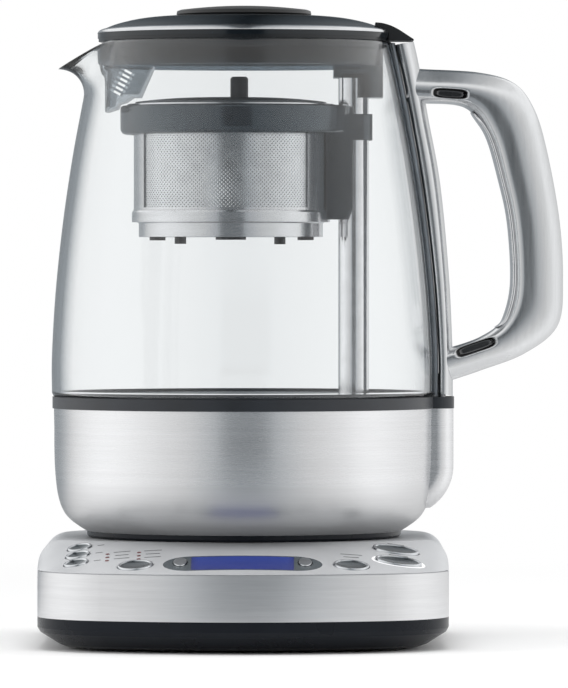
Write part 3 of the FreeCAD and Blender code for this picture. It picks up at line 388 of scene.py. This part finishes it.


# Bowl: the jug's heated foot, spun from stainless steel and brushed round its axis, with a pressed
# bulge for the spine of the handle. From the first height below down to the second, in metres, its
# colour darkens with painted shade and its gloss grows rougher. The ring above it is a black rubber seal.
FOOT_SHADE_FROM = 0.068
FOOT_SHADE_TO = 0.048
FOOT_SHADE_TONE = 0.62
FOOT_ROUGHER = 0.22


def parts_of_finish(finish):
    """The nodes, the links and the main shader of a finish."""
    nodes = finish.node_tree.nodes
    return nodes, finish.node_tree.links, nodes["Principled BSDF"]


def rising(nodes, links, source, start, end):
    """Goes from 0 to 1 while the source goes from start to end."""
    limits = nodes.new("ShaderNodeMapRange")
    limits.inputs["From Min"].default_value = start
    limits.inputs["From Max"].default_value = end
    links.new(source, limits.inputs["Value"])
    return limits.outputs["Result"]


def darkened(nodes, links, shader, share, factor):
    """Darkens the base colour by the factor where the share is 1."""
    under = shader.inputs["Base Color"].links[0].from_socket
    dimmed = nodes.new("ShaderNodeMix")
    dimmed.data_type = "RGBA"
    dimmed.blend_type = "MULTIPLY"
    links.new(share, dimmed.inputs["Factor"])
    links.new(under, dimmed.inputs["A"])
    dimmed.inputs["B"].default_value = (*[factor] * 3, 1)
    links.new(dimmed.outputs["Result"], shader.inputs["Base Color"])


bowl_steel = brushed("bowl_steel", (0.74, 0.745, 0.755), 0.27, round_axis=0.0, contrast=0.05)
nodes, links, shader = parts_of_finish(bowl_steel)
# Painted shade: the steel's colour darkens towards the foot of the bowl, and its gloss grows rougher there.
foot_shade = rising(nodes, links, parts_of_place(nodes, links)["Z"], FOOT_SHADE_FROM, FOOT_SHADE_TO)
darkened(nodes, links, shader, foot_shade, FOOT_SHADE_TONE)
rougher = reckon(nodes, links, "MULTIPLY", foot_shade, FOOT_ROUGHER)
roughness = reckon(nodes, links, "ADD", shader.inputs["Roughness"].links[0].from_socket, rougher)
links.new(roughness, shader.inputs["Roughness"])
dress(bowl_steel, "steel_bowl")
dress(rubber("seam_black", (0.01, 0.013, 0.018), 0.35), "seam_ring", "floor_seal")


# Heater: a satin steel floor plate with a grey tubular element, a probe and a small gear motor
# brazed or clipped to its underside, inside the bowl.
floor_steel = brushed("floor_steel", (0.7, 0.7, 0.71), 0.2, round_axis=0.0, contrast=0.05)
dress(floor_steel, "floor_plate")
element_grey = polished("element_grey", (0.34, 0.33, 0.32), 0.42)
dress(element_grey, "heating_element", "temperature_sensor", "gear_motor")


# Lift post: a polished steel tube that stands on the floor plate, with a black cap and bearing.
# Magnets inside it carry the basket up and down.
post_steel = polished("post_steel", (0.78, 0.78, 0.79), 0.12)
dress(post_steel, "lift_post", "basket_magnets", "carriage_magnets")
dress(moulded("cap_black", (0.03, 0.034, 0.04), 0.4), "post_cap", "screw_bearing")
dress(moulded("carriage_white", (0.8, 0.8, 0.77), 0.4), "magnet_carriage")


# Glass jug: borosilicate glass, blown, with a fire-polished rim and a lip drawn out by hand while
# hot. It narrows towards the top and is bonded into the seal at its foot.
GLASS_OUTSIDE = (
    (80.5, 104.0), (80.5, 120.0), (78.9, 147.0), (75.8, 176.0),
    (71.8, 203.0), (67.9, 224.0), (65.1, 238.0), (62.4, 249.6),
)
GLASS_WALL = 3.2
LIP_START = 228.0
RIM = 251.0
RIM_ROUND = 1.4
LIP_SPREAD = math.radians(26)
LIP_REACH = 16.4
LIP_DROP = 11.4


def smooth_line(points, spans):
    """Points along a smooth curve through the given ones, spans to each stretch."""
    line = []
    last = len(points) - 1
    for i in range(last):
        near = zip(points[max(i - 1, 0)], points[i], points[i + 1], points[min(i + 2, last)])
        bend = [(2 * q, r - p, 2 * p - 5 * q + 4 * r - s, 3 * q - p - 3 * r + s) for p, q, r, s in near]
        for step in range(spans):
            t = step / spans
            line.append(tuple(0.5 * (k0 + k1 * t + k2 * t * t + k3 * t**3) for k0, k1, k2, k3 in bend))
    line.append(points[-1])
    return line


def turned(name, outline, steps):
    """A shape of revolution about the upright axis, from an outline of radius and height."""
    bpy.ops.object.select_all(action="DESELECT")
    bpy.ops.mesh.primitive_plane_add(size=MM, location=(0, 0, 0))
    piece = bpy.context.object
    piece.name = name
    bpy.ops.object.mode_set(mode="EDIT")
    bpy.ops.mesh.merge(type="CENTER")
    here = outline[0]
    bpy.ops.transform.translate(value=(here[0] * MM, 0, here[1] * MM))
    for point in outline[1:]:
        step = ((point[0] - here[0]) * MM, 0, (point[1] - here[1]) * MM)
        bpy.ops.mesh.extrude_region_move(TRANSFORM_OT_translate={"value": step})
        here = point
    bpy.ops.mesh.select_all(action="SELECT")
    bpy.ops.mesh.spin(steps=steps, angle=math.tau, center=(0, 0, 0), axis=(0, 0, 1))
    bpy.ops.mesh.select_all(action="SELECT")
    bpy.ops.mesh.remove_doubles(threshold=0.00001)
    bpy.ops.mesh.normals_make_consistent(inside=False)
    bpy.ops.object.mode_set(mode="OBJECT")
    bpy.ops.object.shade_smooth()
    return piece


def clear(name, face_colour, edge_shade_colour, edge_start, shadow_colour, ior=1.45):
    """Clear glass or plastic. Towards its edges its colour darkens, as painted shade for the dark lines that
    a thick wall shows.
    """
    finish, nodes, links, shader = start_finish(name)
    facing = nodes.new("ShaderNodeLayerWeight")
    facing.inputs["Blend"].default_value = 0.5
    # Painted shade: the colour goes to the edge colour where the surface turns away from view.
    tone = two_tones(nodes, links, facing.outputs["Facing"], face_colour, edge_shade_colour, edge_start, 1.0)
    links.new(tone, shader.inputs["Base Color"])
    links.new(spread(nodes, links, speckle(nodes, links, 40.0), 0.0, 0.012), shader.inputs["Roughness"])
    set_shader(shader, Transmission_Weight=1.0, IOR=ior)
    through = nodes.new("ShaderNodeBsdfTransparent")
    through.inputs["Color"].default_value = (*shadow_colour, 1)
    ray = nodes.new("ShaderNodeLightPath").outputs
    unseen = reckon(nodes, links, "MAXIMUM", ray["Is Shadow Ray"], ray["Is Diffuse Ray"])
    mixed = nodes.new("ShaderNodeMixShader")
    links.new(unseen, mixed.inputs["Fac"])
    links.new(shader.outputs["BSDF"], mixed.inputs[1])
    links.new(through.outputs["BSDF"], mixed.inputs[2])
    links.new(mixed.outputs["Shader"], nodes["Material Output"].inputs["Surface"])
    return finish


outside = smooth_line(GLASS_OUTSIDE, 9)
inside = [(radius - GLASS_WALL, height) for radius, height in reversed(outside)]
rim_middle = (outside[-1][0] + inside[0][0]) / 2
rim_turns = [math.pi * step / 6 for step in range(1, 6)]
rim = [
    (rim_middle + GLASS_WALL / 2 * math.cos(turn), RIM - RIM_ROUND + RIM_ROUND * math.sin(turn))
    for turn in rim_turns
]
foot = [(79.9, 102.8), (77.8, 102.8)]
jug = turned("jug_glass", outside + rim + inside + list(reversed(foot)) + [outside[0]], 180)
for vertex in jug.data.vertices:
    rise = (vertex.co.z / MM - LIP_START) / (RIM - LIP_START)
    turn = math.atan2(vertex.co.y, -vertex.co.x)
    if rise > 0 and abs(turn) < LIP_SPREAD:
        share = math.cos(math.pi * turn / (2 * LIP_SPREAD)) ** 2
        reach = LIP_REACH * rise**1.6 * share
        drop = LIP_DROP * rise**2 * share
        vertex.co += Vector((-math.cos(turn) * reach, math.sin(turn) * reach, -drop)) * MM
jug_clear = clear("jug_clear", (0.925, 0.938, 0.943), (0.12, 0.155, 0.19), 0.62, (0.95, 0.96, 0.96))
jug.data.materials.append(jug_clear)
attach(jug, "jug")
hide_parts("glass_jug")


# Handle spine: a cast and polished strip that follows the glass from the seam to the lid, rounded
# towards the hand. A black pad lies between it and the glass.
SPINE_OUTSIDE = (
    (87.6, 102.6), (87.4, 123.0), (85.9, 154.0), (82.3, 191.5), (77.2, 219.6), (73.4, 241.0), (71.2, 251.0)
)
SPINE_GAP = 1.1
SPINE_HALF = 11.0
SPINE_RINGS = 90
TIP_REACH = 0.35
TIP_DEEP = 0.6


def even_steps(points, count):
    """The curve through the points, cut into count even steps."""
    line = smooth_line(points, 16)
    lengths = [0.0]
    for start, end in zip(line, line[1:]):
        lengths.append(lengths[-1] + math.dist(start, end))
    steps = []
    place = 0
    for step in range(count + 1):
        target = lengths[-1] * step / count
        while place < len(line) - 2 and lengths[place + 1] < target:
            place += 1
        share = (target - lengths[place]) / (lengths[place + 1] - lengths[place])
        steps.append(Vector(line[place]).lerp(Vector(line[place + 1]), share))
    return steps


def swept_bar(name, outer, inner, half_deep, outer_power, inner_power, corners=64, taper=0, widest=0.5):
    """A bar between two curves in the XZ plane. The powers say how square each side's section is,
    and widest is where it is deepest, from 0 at the inner curve to 1 at the outer."""
    bpy.ops.object.select_all(action="DESELECT")
    bpy.ops.mesh.primitive_circle_add(vertices=corners, radius=1, fill_type="NGON", location=(0, 0, 0))
    piece = bpy.context.object
    piece.name = name
    bpy.ops.object.mode_set(mode="EDIT")
    bpy.ops.mesh.select_all(action="SELECT")
    last = len(outer) - 1
    for ring in range(last):
        bpy.ops.mesh.extrude_region_move(TRANSFORM_OT_translate={"value": (0, 0, 1)})
    bpy.ops.object.mode_set(mode="OBJECT")
    for vertex in piece.data.vertices:
        ring = round(vertex.co.z)
        angle = math.atan2(vertex.co.y, vertex.co.x)
        power = 2 / (outer_power if math.cos(angle) > 0 else inner_power)
        across = math.copysign(abs(math.cos(angle)) ** power, math.cos(angle))
        deep = math.copysign(abs(math.sin(angle)) ** power, math.sin(angle))
        end = min(ring, last - ring)
        swell = math.sqrt(1 - (1 - end / taper) ** 2) if end < taper else 1.0
        middle = inner[ring].lerp(outer[ring], widest)
        reach = (outer[ring] - middle) if across > 0 else (middle - inner[ring])
        side = middle + reach * across * (TIP_REACH + (1 - TIP_REACH) * swell)
        depth = half_deep * deep * (TIP_DEEP + (1 - TIP_DEEP) * swell)
        vertex.co = Vector((side.x, depth, side.y)) * MM
    bpy.ops.object.mode_set(mode="EDIT")
    bpy.ops.mesh.select_all(action="SELECT")
    bpy.ops.mesh.normals_make_consistent(inside=False)
    bpy.ops.object.mode_set(mode="OBJECT")
    bpy.ops.object.shade_smooth_by_angle(angle=math.radians(50))
    return piece


handle_metal = brushed(
    "handle_metal", (0.64, 0.65, 0.66), 0.22, stretch=(1, 1, 0.03), gloss_spread=0.3, contrast=0.05
)
spine_outer = even_steps(SPINE_OUTSIDE, SPINE_RINGS)
glass_beside = even_steps([(radius + SPINE_GAP, height) for radius, height in GLASS_OUTSIDE], SPINE_RINGS)
spine = swept_bar("spine_bar", spine_outer, glass_beside, SPINE_HALF, 2.2, 4.0, widest=0.3)
spine.data.materials.append(handle_metal)
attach(spine, "jug")
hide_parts("handle_spine")
dress(rubber("pad_grey", (0.17, 0.19, 0.215), 0.4), "spine_pad")


# Handle: a casting in satin polished metal that loops out from the spine and back, broad and rounded
# outside. Both arms have a shallow scoop on each side, whose floor is darkened with painted shade. A
# scoop is its middle's x and z, half its length, half its height and its lean in degrees.
HANDLE_OUTSIDE = (
    (84.0, 108.2), (99.0, 113.2), (118.0, 120.6), (131.6, 132.2), (133.8, 152.0), (132.1, 178.1),
    (126.4, 208.3), (121.0, 224.3), (113.0, 233.9), (98.6, 238.2), (76.0, 239.6)
)
HANDLE_INSIDE = (
    (84.0, 122.2), (99.0, 127.4), (108.6, 135.2), (111.9, 150.0), (110.6, 175.0), (106.6, 194.0),
    (101.4, 211.5), (92.6, 223.4), (74.0, 225.3)
)
HANDLE_HALF = 10.5
OUTER_END = (70.0, 239.9)
INNER_END = (68.0, 225.6)
HANDLE_RINGS = 280
SCOOPS = ((86.3, 229.2, 6.8, 1.9, -4.0), (97.0, 123.2, 8.2, 2.0, 19.0))
SCOOP_FLOOR = 7.0
SCOOP_EDGE = 0.95
SCOOP_STEEP = 20
SCOOP_REACH = 1.4
SCOOP_POWER = 4.0
SCOOP_FADE = (1.6, 0.9)
SCOOP_SHADE = 0.18

handle_outer = even_steps(HANDLE_OUTSIDE + (OUTER_END,), HANDLE_RINGS)
handle_inner = even_steps(HANDLE_INSIDE + (INNER_END,), HANDLE_RINGS)
handle = swept_bar(
    "handle_loop", handle_outer, handle_inner, HANDLE_HALF, 2.2, 2.7, corners=140, widest=0.32
)
for vertex in handle.data.vertices:
    for x, z, half_long, half_high, lean in SCOOPS:
        along = Vector((math.cos(math.radians(lean)), math.sin(math.radians(lean))))
        offset = Vector((vertex.co.x / MM - x, vertex.co.z / MM - z))
        long_share = offset.dot(along) / half_long
        high_share = offset.dot(along.orthogonal()) / half_high
        distance = (long_share**4 + high_share**4) ** 0.25
        if distance < SCOOP_REACH and abs(vertex.co.y) > SCOOP_FLOOR * MM:
            share = 1 / (1 + math.exp(SCOOP_STEEP * (distance - SCOOP_EDGE)))
            floor_of_scoop = math.copysign(SCOOP_FLOOR * MM, vertex.co.y)
            vertex.co.y += (floor_of_scoop - vertex.co.y) * share


def weighed(nodes, links, first, first_weight, second, second_weight):
    """The sum of two sockets, each times its weight."""
    first_part = reckon(nodes, links, "MULTIPLY", first, first_weight)
    return reckon(nodes, links, "ADD", first_part, reckon(nodes, links, "MULTIPLY", second, second_weight))


def raised(nodes, links, source, power):
    """The size of the source, raised to the power."""
    return reckon(nodes, links, "POWER", reckon(nodes, links, "ABSOLUTE", source), power)


# Painted shade: the metal's colour darkens on the floor of each scoop.
nodes, links, shader = parts_of_finish(handle_metal)
place = parts_of_place(nodes, links)
for x, z, half_long, half_high, lean in SCOOPS:
    out = reckon(nodes, links, "SUBTRACT", place["X"], x * MM)
    rise = reckon(nodes, links, "SUBTRACT", place["Z"], z * MM)
    cosine = math.cos(math.radians(lean)) / MM
    sine = math.sin(math.radians(lean)) / MM
    along = weighed(nodes, links, out, cosine / half_long, rise, sine / half_long)
    high = weighed(nodes, links, rise, cosine / half_high, out, -sine / half_high)
    along_part = raised(nodes, links, along, SCOOP_POWER)
    distance = reckon(nodes, links, "ADD", along_part, raised(nodes, links, high, SCOOP_POWER))
    darkened(nodes, links, shader, rising(nodes, links, distance, *SCOOP_FADE), SCOOP_SHADE)
handle.data.materials.append(handle_metal)
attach(handle, "jug")
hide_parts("handle")


# Grip strip: a slim polished strip let into the inner side of the handle, where the fingers close
# round it. It stands a hair proud, and its ends are rounded off.
GRIP_INSIDE = ((104.5, 131.4), *HANDLE_INSIDE[2:7], (94.4, 221.6))
GRIP_THICK = 3.0
GRIP_PROUD = 0.3
GRIP_HALF = HANDLE_HALF - 0.9
GRIP_RINGS = 200
GRIP_TAPER = 14

grip_inner = even_steps([(x - GRIP_PROUD, z) for x, z in GRIP_INSIDE], GRIP_RINGS)
grip_outer = [point + Vector((GRIP_THICK, 0)) for point in grip_inner]
grip = swept_bar("grip_bar", grip_outer, grip_inner, GRIP_HALF, 3.0, 2.8, taper=GRIP_TAPER)
grip.data.materials.append(polished("grip_metal", (0.8, 0.8, 0.81), 0.16))
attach(grip, "jug")
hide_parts("grip_strip")


# Lid: a slate grey dome with a turned-down flange, moulded, with a bright steel band on its
# shoulder, a soft black pad on top and a thumb tab over the spine.
lid_slate = moulded("lid_slate", (0.006, 0.009, 0.012), 0.12, 0.000002)
dress(lid_slate, "lid_cover")
dress(rubber("pad_black", (0.004, 0.005, 0.006), 0.34), "lid_knob", "lid_tab")
dress(polished("trim_steel", (0.62, 0.63, 0.645), 0.16), "lid_trim")
dress(moulded("seal_slate", (0.004, 0.006, 0.008), 0.25, 0.000002), "lid_seal")


# Lid sleeve and strainer: one moulding each in smoky clear plastic. The sleeve guides the lid in
# the glass and over the post, and the strainer hangs from it behind the lip. The tint is deeper
# below and above a pale edge, which runs from PALE_FROM to PALE_TO in metres.
PALE_FROM = 0.2399
PALE_TO = 0.242
TINT_FADE = 0.0003
TONE_BELOW = 0.2
TONE_ABOVE = 0.3

smoke_clear = clear("smoke_clear", (0.12, 0.155, 0.185), (0.03, 0.04, 0.05), 0.6, (0.6, 0.62, 0.64))
nodes, links, shader = parts_of_finish(smoke_clear)
height = parts_of_place(nodes, links)["Z"]
below = rising(nodes, links, height, PALE_FROM + TINT_FADE, PALE_FROM)
above = rising(nodes, links, height, PALE_TO, PALE_TO + TINT_FADE)
darkened(nodes, links, shader, below, TONE_BELOW)
darkened(nodes, links, shader, above, TONE_ABOVE)
dress(smoke_clear, "lid_sleeve")
strainer_clear = clear("strainer_clear", (0.4, 0.44, 0.47), (0.14, 0.17, 0.2), 0.6, (0.7, 0.72, 0.74))
dress(strainer_clear, "spout_screen")


# Basket collar: the slate grey ring that holds the drum, moulded in one piece with the arm and the
# clip that slide on the post. Its gloss shows every light in the room.
collar_slate = moulded("collar_slate", (0.007, 0.011, 0.016), 0.14, 0.0, 0.05)
nodes, links, shader = parts_of_finish(collar_slate)
set_shader(shader, Specular_IOR_Level=1.0, Specular_Tint=(0.78, 0.91, 1, 1))
dress(collar_slate, "basket_collar")
dress(moulded("basket_lid_slate", (0.04, 0.05, 0.06), 0.2, 0.000004), "basket_lid")
dress(rubber("knob_black", (0.002, 0.002, 0.003), 0.4), "basket_lid_knob", "basket_nubs")


# Basket drum: spun from satin steel, with two wide windows and a stepped base ring. It is clipped
# into the collar from above.
drum_steel = brushed("drum_steel", (0.74, 0.74, 0.75), 0.2, round_axis=-0.0055, contrast=0.05)
dress(drum_steel, "basket_drum", "basket_base")


# Basket screen: thin steel sheet, rolled into a cylinder inside the drum, with thousands of fine
# holes in staggered rows. The holes are stamped out.
SCREEN_THICK = 0.3
HOLE_PITCH = 1.7
HOLE_MARGIN = 0.34

screen_low, screen_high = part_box("basket_screen")
screen_x = (screen_low[0] + screen_high[0]) / 2
screen_radius = (screen_high[0] - screen_low[0]) / 2
screen_tall = screen_high[2] - screen_low[2]
cells_round = round(math.tau * screen_radius / (HOLE_PITCH * MM))
cells_high = round(screen_tall / (HOLE_PITCH * MM))

bpy.ops.object.select_all(action="DESELECT")
bpy.ops.mesh.primitive_grid_add(
    x_subdivisions=cells_round, y_subdivisions=cells_high, size=1, location=(0, 0, 0)
)
screen = bpy.context.object
screen.name = "screen_sheet"
for vertex in screen.data.vertices:
    turn = math.tau * vertex.co.x
    height = screen_low[2] + (vertex.co.y + 0.5) * screen_tall
    vertex.co = Vector((screen_x + screen_radius * math.cos(turn), screen_radius * math.sin(turn), height))
bpy.ops.object.mode_set(mode="EDIT")
bpy.ops.mesh.select_all(action="SELECT")
bpy.ops.mesh.remove_doubles(threshold=0.00001)
bpy.ops.object.mode_set(mode="OBJECT")
corner_count = len(screen.data.vertices)
bpy.ops.object.mode_set(mode="EDIT")
bpy.ops.mesh.select_all(action="SELECT")
bpy.ops.mesh.poke()
bpy.ops.mesh.select_mode(type="EDGE")
bpy.ops.mesh.select_all(action="DESELECT")
bpy.ops.object.mode_set(mode="OBJECT")
for edge in screen.data.edges:
    edge.select = edge.vertices[0] < corner_count and edge.vertices[1] < corner_count
bpy.ops.object.mode_set(mode="EDIT")
bpy.ops.mesh.dissolve_edges(use_verts=False)
bpy.ops.mesh.select_mode(type="FACE")
bpy.ops.mesh.select_all(action="DESELECT")
bpy.ops.mesh.select_face_by_sides(number=4, type="EQUAL")
bpy.ops.mesh.inset(thickness=HOLE_MARGIN * MM, use_individual=True)
bpy.ops.mesh.delete(type="FACE")
bpy.ops.mesh.select_all(action="SELECT")
bpy.ops.mesh.normals_make_consistent(inside=False)
bpy.ops.object.mode_set(mode="OBJECT")
wall = screen.modifiers.new("wall", "SOLIDIFY")
wall.thickness = SCREEN_THICK * MM
bpy.ops.object.modifier_apply(modifier="wall")
bpy.ops.object.shade_smooth_by_angle(angle=math.radians(40))
screen.data.materials.append(polished("screen_steel", (0.72, 0.73, 0.74), 0.22))
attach(screen, "basket")
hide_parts("basket_screen")


# Floor: a plain white sheet under the base, which takes only a soft shadow where it stands. From
# NEAR to FAR, in metres from its middle, it goes over to an even white.
FLOOR_WIDE = 60
NEAR = 0.3
FAR = 0.8

bpy.ops.object.select_all(action="DESELECT")
bpy.ops.mesh.primitive_plane_add(size=FLOOR_WIDE, location=(0, 0, 0))
floor = bpy.context.object
floor.name = "floor_sheet"
floor_white, nodes, links, shader = start_finish("floor_white")
place = parts_of_place(nodes, links)
away = reckon(nodes, links, "SQRT", weighed(nodes, links, place["X"], place["X"], place["Y"], place["Y"]))
set_shader(shader, Base_Color=(0.97, 0.97, 0.97, 1), Roughness=0.9)
plain_white = nodes.new("ShaderNodeEmission")
mixed = nodes.new("ShaderNodeMixShader")
links.new(rising(nodes, links, away, NEAR, FAR), mixed.inputs["Fac"])
links.new(shader.outputs["BSDF"], mixed.inputs[1])
links.new(plain_white.outputs["Emission"], mixed.inputs[2])
links.new(mixed.outputs["Shader"], nodes["Material Output"].inputs["Surface"])
floor.data.materials.append(floor_white)


# Flags: a wide drum of grey and white cloth round the table, seen only as reflections. Its dark
# strip behind the lens draws the dark band down the polished steel. A tone of the wall is a turn in
# degrees from behind the lens and a level, and a tone of the ceiling an x in metres and a level.
WALL_TONES = (
    (-180, 0.45), (-160, 0.36), (-142, 0.36), (-122, 0.95), (-92, 1.3), (-60, 1.03),
    (-32, 0.77), (-16, 0.56), (-6, 0.42), (6, 0.4), (17, 0.52), (33, 0.71),
    (61, 0.98), (78, 1.25), (110, 1.0), (145, 0.86), (162, 0.6), (180, 0.45)
)
CEILING_TONES = (
    (-3.6, 0.8), (-2.7, 1.3), (-1.8, 1.0), (-1.0, 0.8), (-0.45, 0.6), (-0.26, 0.04),
    (0.26, 0.04), (0.4, 0.55), (1.0, 0.7), (1.8, 0.9), (2.7, 1.2), (3.6, 0.8)
)
FLAG_PEAK = 1.3
FLAG_RADIUS = 3.6
FLAG_TALL = 4.0
FLAG_INNER = 0.17
FLAG_LIFT = 0.003
STRIP_HALF = math.radians(13)
STRIP_MIDDLE = math.radians(1.5)
STRIP_LEVEL = 0.02
STRIP_FOOT = (0.02, 0.06)
STRIP_HEAD = (0.9, 0.6)
FRONT_TURN = 1.2
FRONT_RISE = (1.6, 2.8)
SIDE_TURN = 1.6
SIDE_RISE = (1.0, 1.5)
HIGH_LEVEL = 0.95
REAR_HALF = 0.76
REAR_DARK = 0.0
REAR_LEVEL = 0.34
REAR_RISE = (0.5, 0.8)
REAR_DEPTH = (0.0, 0.5)


def toned(nodes, links, source, tones, whole):
    """Grey tones along the source, which runs from minus half to plus half of the whole."""
    share = reckon(nodes, links, "ADD", reckon(nodes, links, "DIVIDE", source, whole), 0.5)
    ramp = nodes.new("ShaderNodeValToRGB")
    ramp.color_ramp.interpolation = "B_SPLINE"
    stops = ramp.color_ramp.elements
    for place, tone in tones[1:-1]:
        level = tone / FLAG_PEAK
        stops.new(place / (2 * tones[-1][0]) + 0.5).color = (level, level, level, 1)
    stops[0].color = (*[tones[0][1] / FLAG_PEAK] * 3, 1)
    stops[-1].color = (*[tones[-1][1] / FLAG_PEAK] * 3, 1)
    links.new(share, ramp.inputs["Fac"])
    return ramp.outputs["Color"]


def covered(nodes, links, under, share, level):
    """The value under it where the share is 0, and the level, a number or a socket, where it is 1."""
    left = reckon(nodes, links, "MULTIPLY", under, reckon(nodes, links, "SUBTRACT", 1.0, share))
    return reckon(nodes, links, "ADD", left, reckon(nodes, links, "MULTIPLY", share, level))


bpy.ops.object.select_all(action="DESELECT")
bpy.ops.mesh.primitive_cylinder_add(
    vertices=128, radius=FLAG_RADIUS, depth=FLAG_TALL, end_fill_type="NGON",
    location=(0, 0, FLAG_TALL / 2 + FLAG_LIFT)
)
flags = bpy.context.object
flags.name = "studio_flags"
bpy.ops.object.transform_apply(location=True)
for face in flags.data.polygons:
    face.select = face.normal.z < -0.5
bpy.ops.object.mode_set(mode="EDIT")
bpy.ops.mesh.inset(thickness=FLAG_RADIUS - FLAG_INNER)
bpy.ops.mesh.delete(type="FACE")
bpy.ops.object.mode_set(mode="OBJECT")
flag_cloth, nodes, links, shader = start_finish("flag_cloth")
place = parts_of_place(nodes, links)
height = place["Z"]
turn = reckon(nodes, links, "ARCTAN2", place["X"], reckon(nodes, links, "MULTIPLY", place["Y"], -1.0))
wall = toned(nodes, links, turn, WALL_TONES, math.tau)
ceiling = toned(nodes, links, place["X"], CEILING_TONES, 2 * FLAG_RADIUS)
aside = reckon(nodes, links, "ABSOLUTE", turn)
in_front = rising(nodes, links, aside, SIDE_TURN, FRONT_TURN)
at_side = rising(nodes, links, aside, FRONT_TURN, SIDE_TURN)
front_high = reckon(nodes, links, "MULTIPLY", in_front, rising(nodes, links, height, *FRONT_RISE))
side_high = reckon(nodes, links, "MULTIPLY", at_side, rising(nodes, links, height, *SIDE_RISE))
wall = covered(nodes, links, wall, reckon(nodes, links, "ADD", front_high, side_high), HIGH_LEVEL)
sideways = reckon(nodes, links, "ABSOLUTE", place["X"])
rear_tone = spread(nodes, links, rising(nodes, links, sideways, 0.0, REAR_HALF), REAR_DARK, REAR_LEVEL)
rear_wide = rising(nodes, links, sideways, REAR_HALF * 1.5, REAR_HALF * 1.1)
rear_high = reckon(nodes, links, "MULTIPLY", rising(nodes, links, height, *REAR_RISE), rear_wide)
rear_high = reckon(nodes, links, "MULTIPLY", rear_high, rising(nodes, links, place["Y"], *REAR_DEPTH))
wall = covered(nodes, links, wall, rear_high, rear_tone)
strip_foot = rising(nodes, links, height, *STRIP_FOOT)
strip_tall = reckon(nodes, links, "MULTIPLY", strip_foot, rising(nodes, links, height, *STRIP_HEAD))
off_strip = reckon(nodes, links, "ABSOLUTE", reckon(nodes, links, "SUBTRACT", turn, STRIP_MIDDLE))
strip_wide = rising(nodes, links, off_strip, STRIP_HALF * 1.25, STRIP_HALF)
wall = covered(nodes, links, wall, reckon(nodes, links, "MULTIPLY", strip_wide, strip_tall), STRIP_LEVEL)
light = covered(nodes, links, wall, reckon(nodes, links, "GREATER_THAN", height, FLAG_TALL), ceiling)
glowing = nodes.new("ShaderNodeEmission")
links.new(reckon(nodes, links, "MULTIPLY", light, FLAG_PEAK), glowing.inputs["Strength"])
cool_to_white = two_tones(nodes, links, light, (0.8, 0.91, 1.0), (1, 1, 1), 0.1, 0.6)
links.new(cool_to_white, glowing.inputs["Color"])
unlit = nodes.new("ShaderNodeBsdfTransparent")
bounces = nodes.new("ShaderNodeLightPath").outputs["Glossy Depth"]
mixed = nodes.new("ShaderNodeMixShader")
links.new(reckon(nodes, links, "GREATER_THAN", bounces, 0.5), mixed.inputs["Fac"])
links.new(unlit.outputs["BSDF"], mixed.inputs[1])
links.new(glowing.outputs["Emission"], mixed.inputs[2])
links.new(mixed.outputs["Shader"], nodes["Material Output"].inputs["Surface"])
flag_cloth.cycles.emission_sampling = "NONE"
flags.data.materials.append(flag_cloth)
flags.visible_camera = False
flags.visible_diffuse = False
flags.visible_shadow = False


# Light: a plain white room, and soft lamps at both sides and above. The lamps only give light and
# aren't seen themselves, also not in polished steel or through glass.
ROOM_LEVEL = 0.72

world = bpy.data.worlds.new("studio")
bpy.context.scene.world = world
world.use_nodes = True
nodes = world.node_tree.nodes
links = world.node_tree.links
room = nodes["Background"]
room.inputs["Color"].default_value = (1, 1, 1, 1)
room.inputs["Strength"].default_value = ROOM_LEVEL
backdrop = nodes.new("ShaderNodeBackground")
backdrop.inputs["Color"].default_value = (1, 1, 1, 1)
backdrop.inputs["Strength"].default_value = 1.0
ray = nodes.new("ShaderNodeLightPath").outputs
seen = reckon(nodes, links, "MAXIMUM", ray["Is Camera Ray"], ray["Is Transmission Ray"])
seen = reckon(nodes, links, "MAXIMUM", seen, ray["Is Glossy Ray"])
mixed = nodes.new("ShaderNodeMixShader")
links.new(seen, mixed.inputs["Fac"])
links.new(room.outputs["Background"], mixed.inputs[1])
links.new(backdrop.outputs["Background"], mixed.inputs[2])
links.new(mixed.outputs["Shader"], nodes["World Output"].inputs["Surface"])


def softbox(name, place, aim, width, height, watts):
    """A soft lamp that shines from its place at the aim, and that the camera doesn't see."""
    bpy.ops.object.light_add(type="AREA", location=place)
    lamp = bpy.context.object
    lamp.name = name
    lamp.data.shape = "ELLIPSE"
    lamp.data.size = width
    lamp.data.size_y = height
    lamp.data.energy = watts
    lamp.rotation_euler = (Vector(aim) - Vector(place)).to_track_quat("-Z", "Y").to_euler()
    lamp.visible_camera = False
    lamp.visible_glossy = False
    lamp.visible_transmission = False


softbox("left_lamp", (-1.5, -0.5, 0.55), (0, 0, 0.12), 1.0, 1.6, 9.0)
softbox("right_lamp", (1.5, 0.2, 0.55), (0, 0, 0.12), 0.9, 1.6, 8.0)
softbox("top_lamp", (0.0, -0.3, 1.7), (0, 0, 0.1), 1.3, 1.3, 9.0)


# Camera: about three metres in front and at mid height of the jug, through a long lens that keeps
# upright lines nearly parallel. It looks down a little, at about the middle of the whole.
CAMERA_PLACE = (0.0168, -2.957, 0.1576)
CAMERA_AIM = (0.0168, 0, 0.1244)
LENS = 368.9

bpy.ops.object.camera_add(location=CAMERA_PLACE)
camera = bpy.context.object
camera.rotation_euler = (Vector(CAMERA_AIM) - camera.location).to_track_quat("-Z", "Y").to_euler()
camera.data.sensor_width = 36.0
camera.data.lens = LENS
bpy.context.scene.camera = camera
bpy.context.scene.view_settings.view_transform = "Standard"
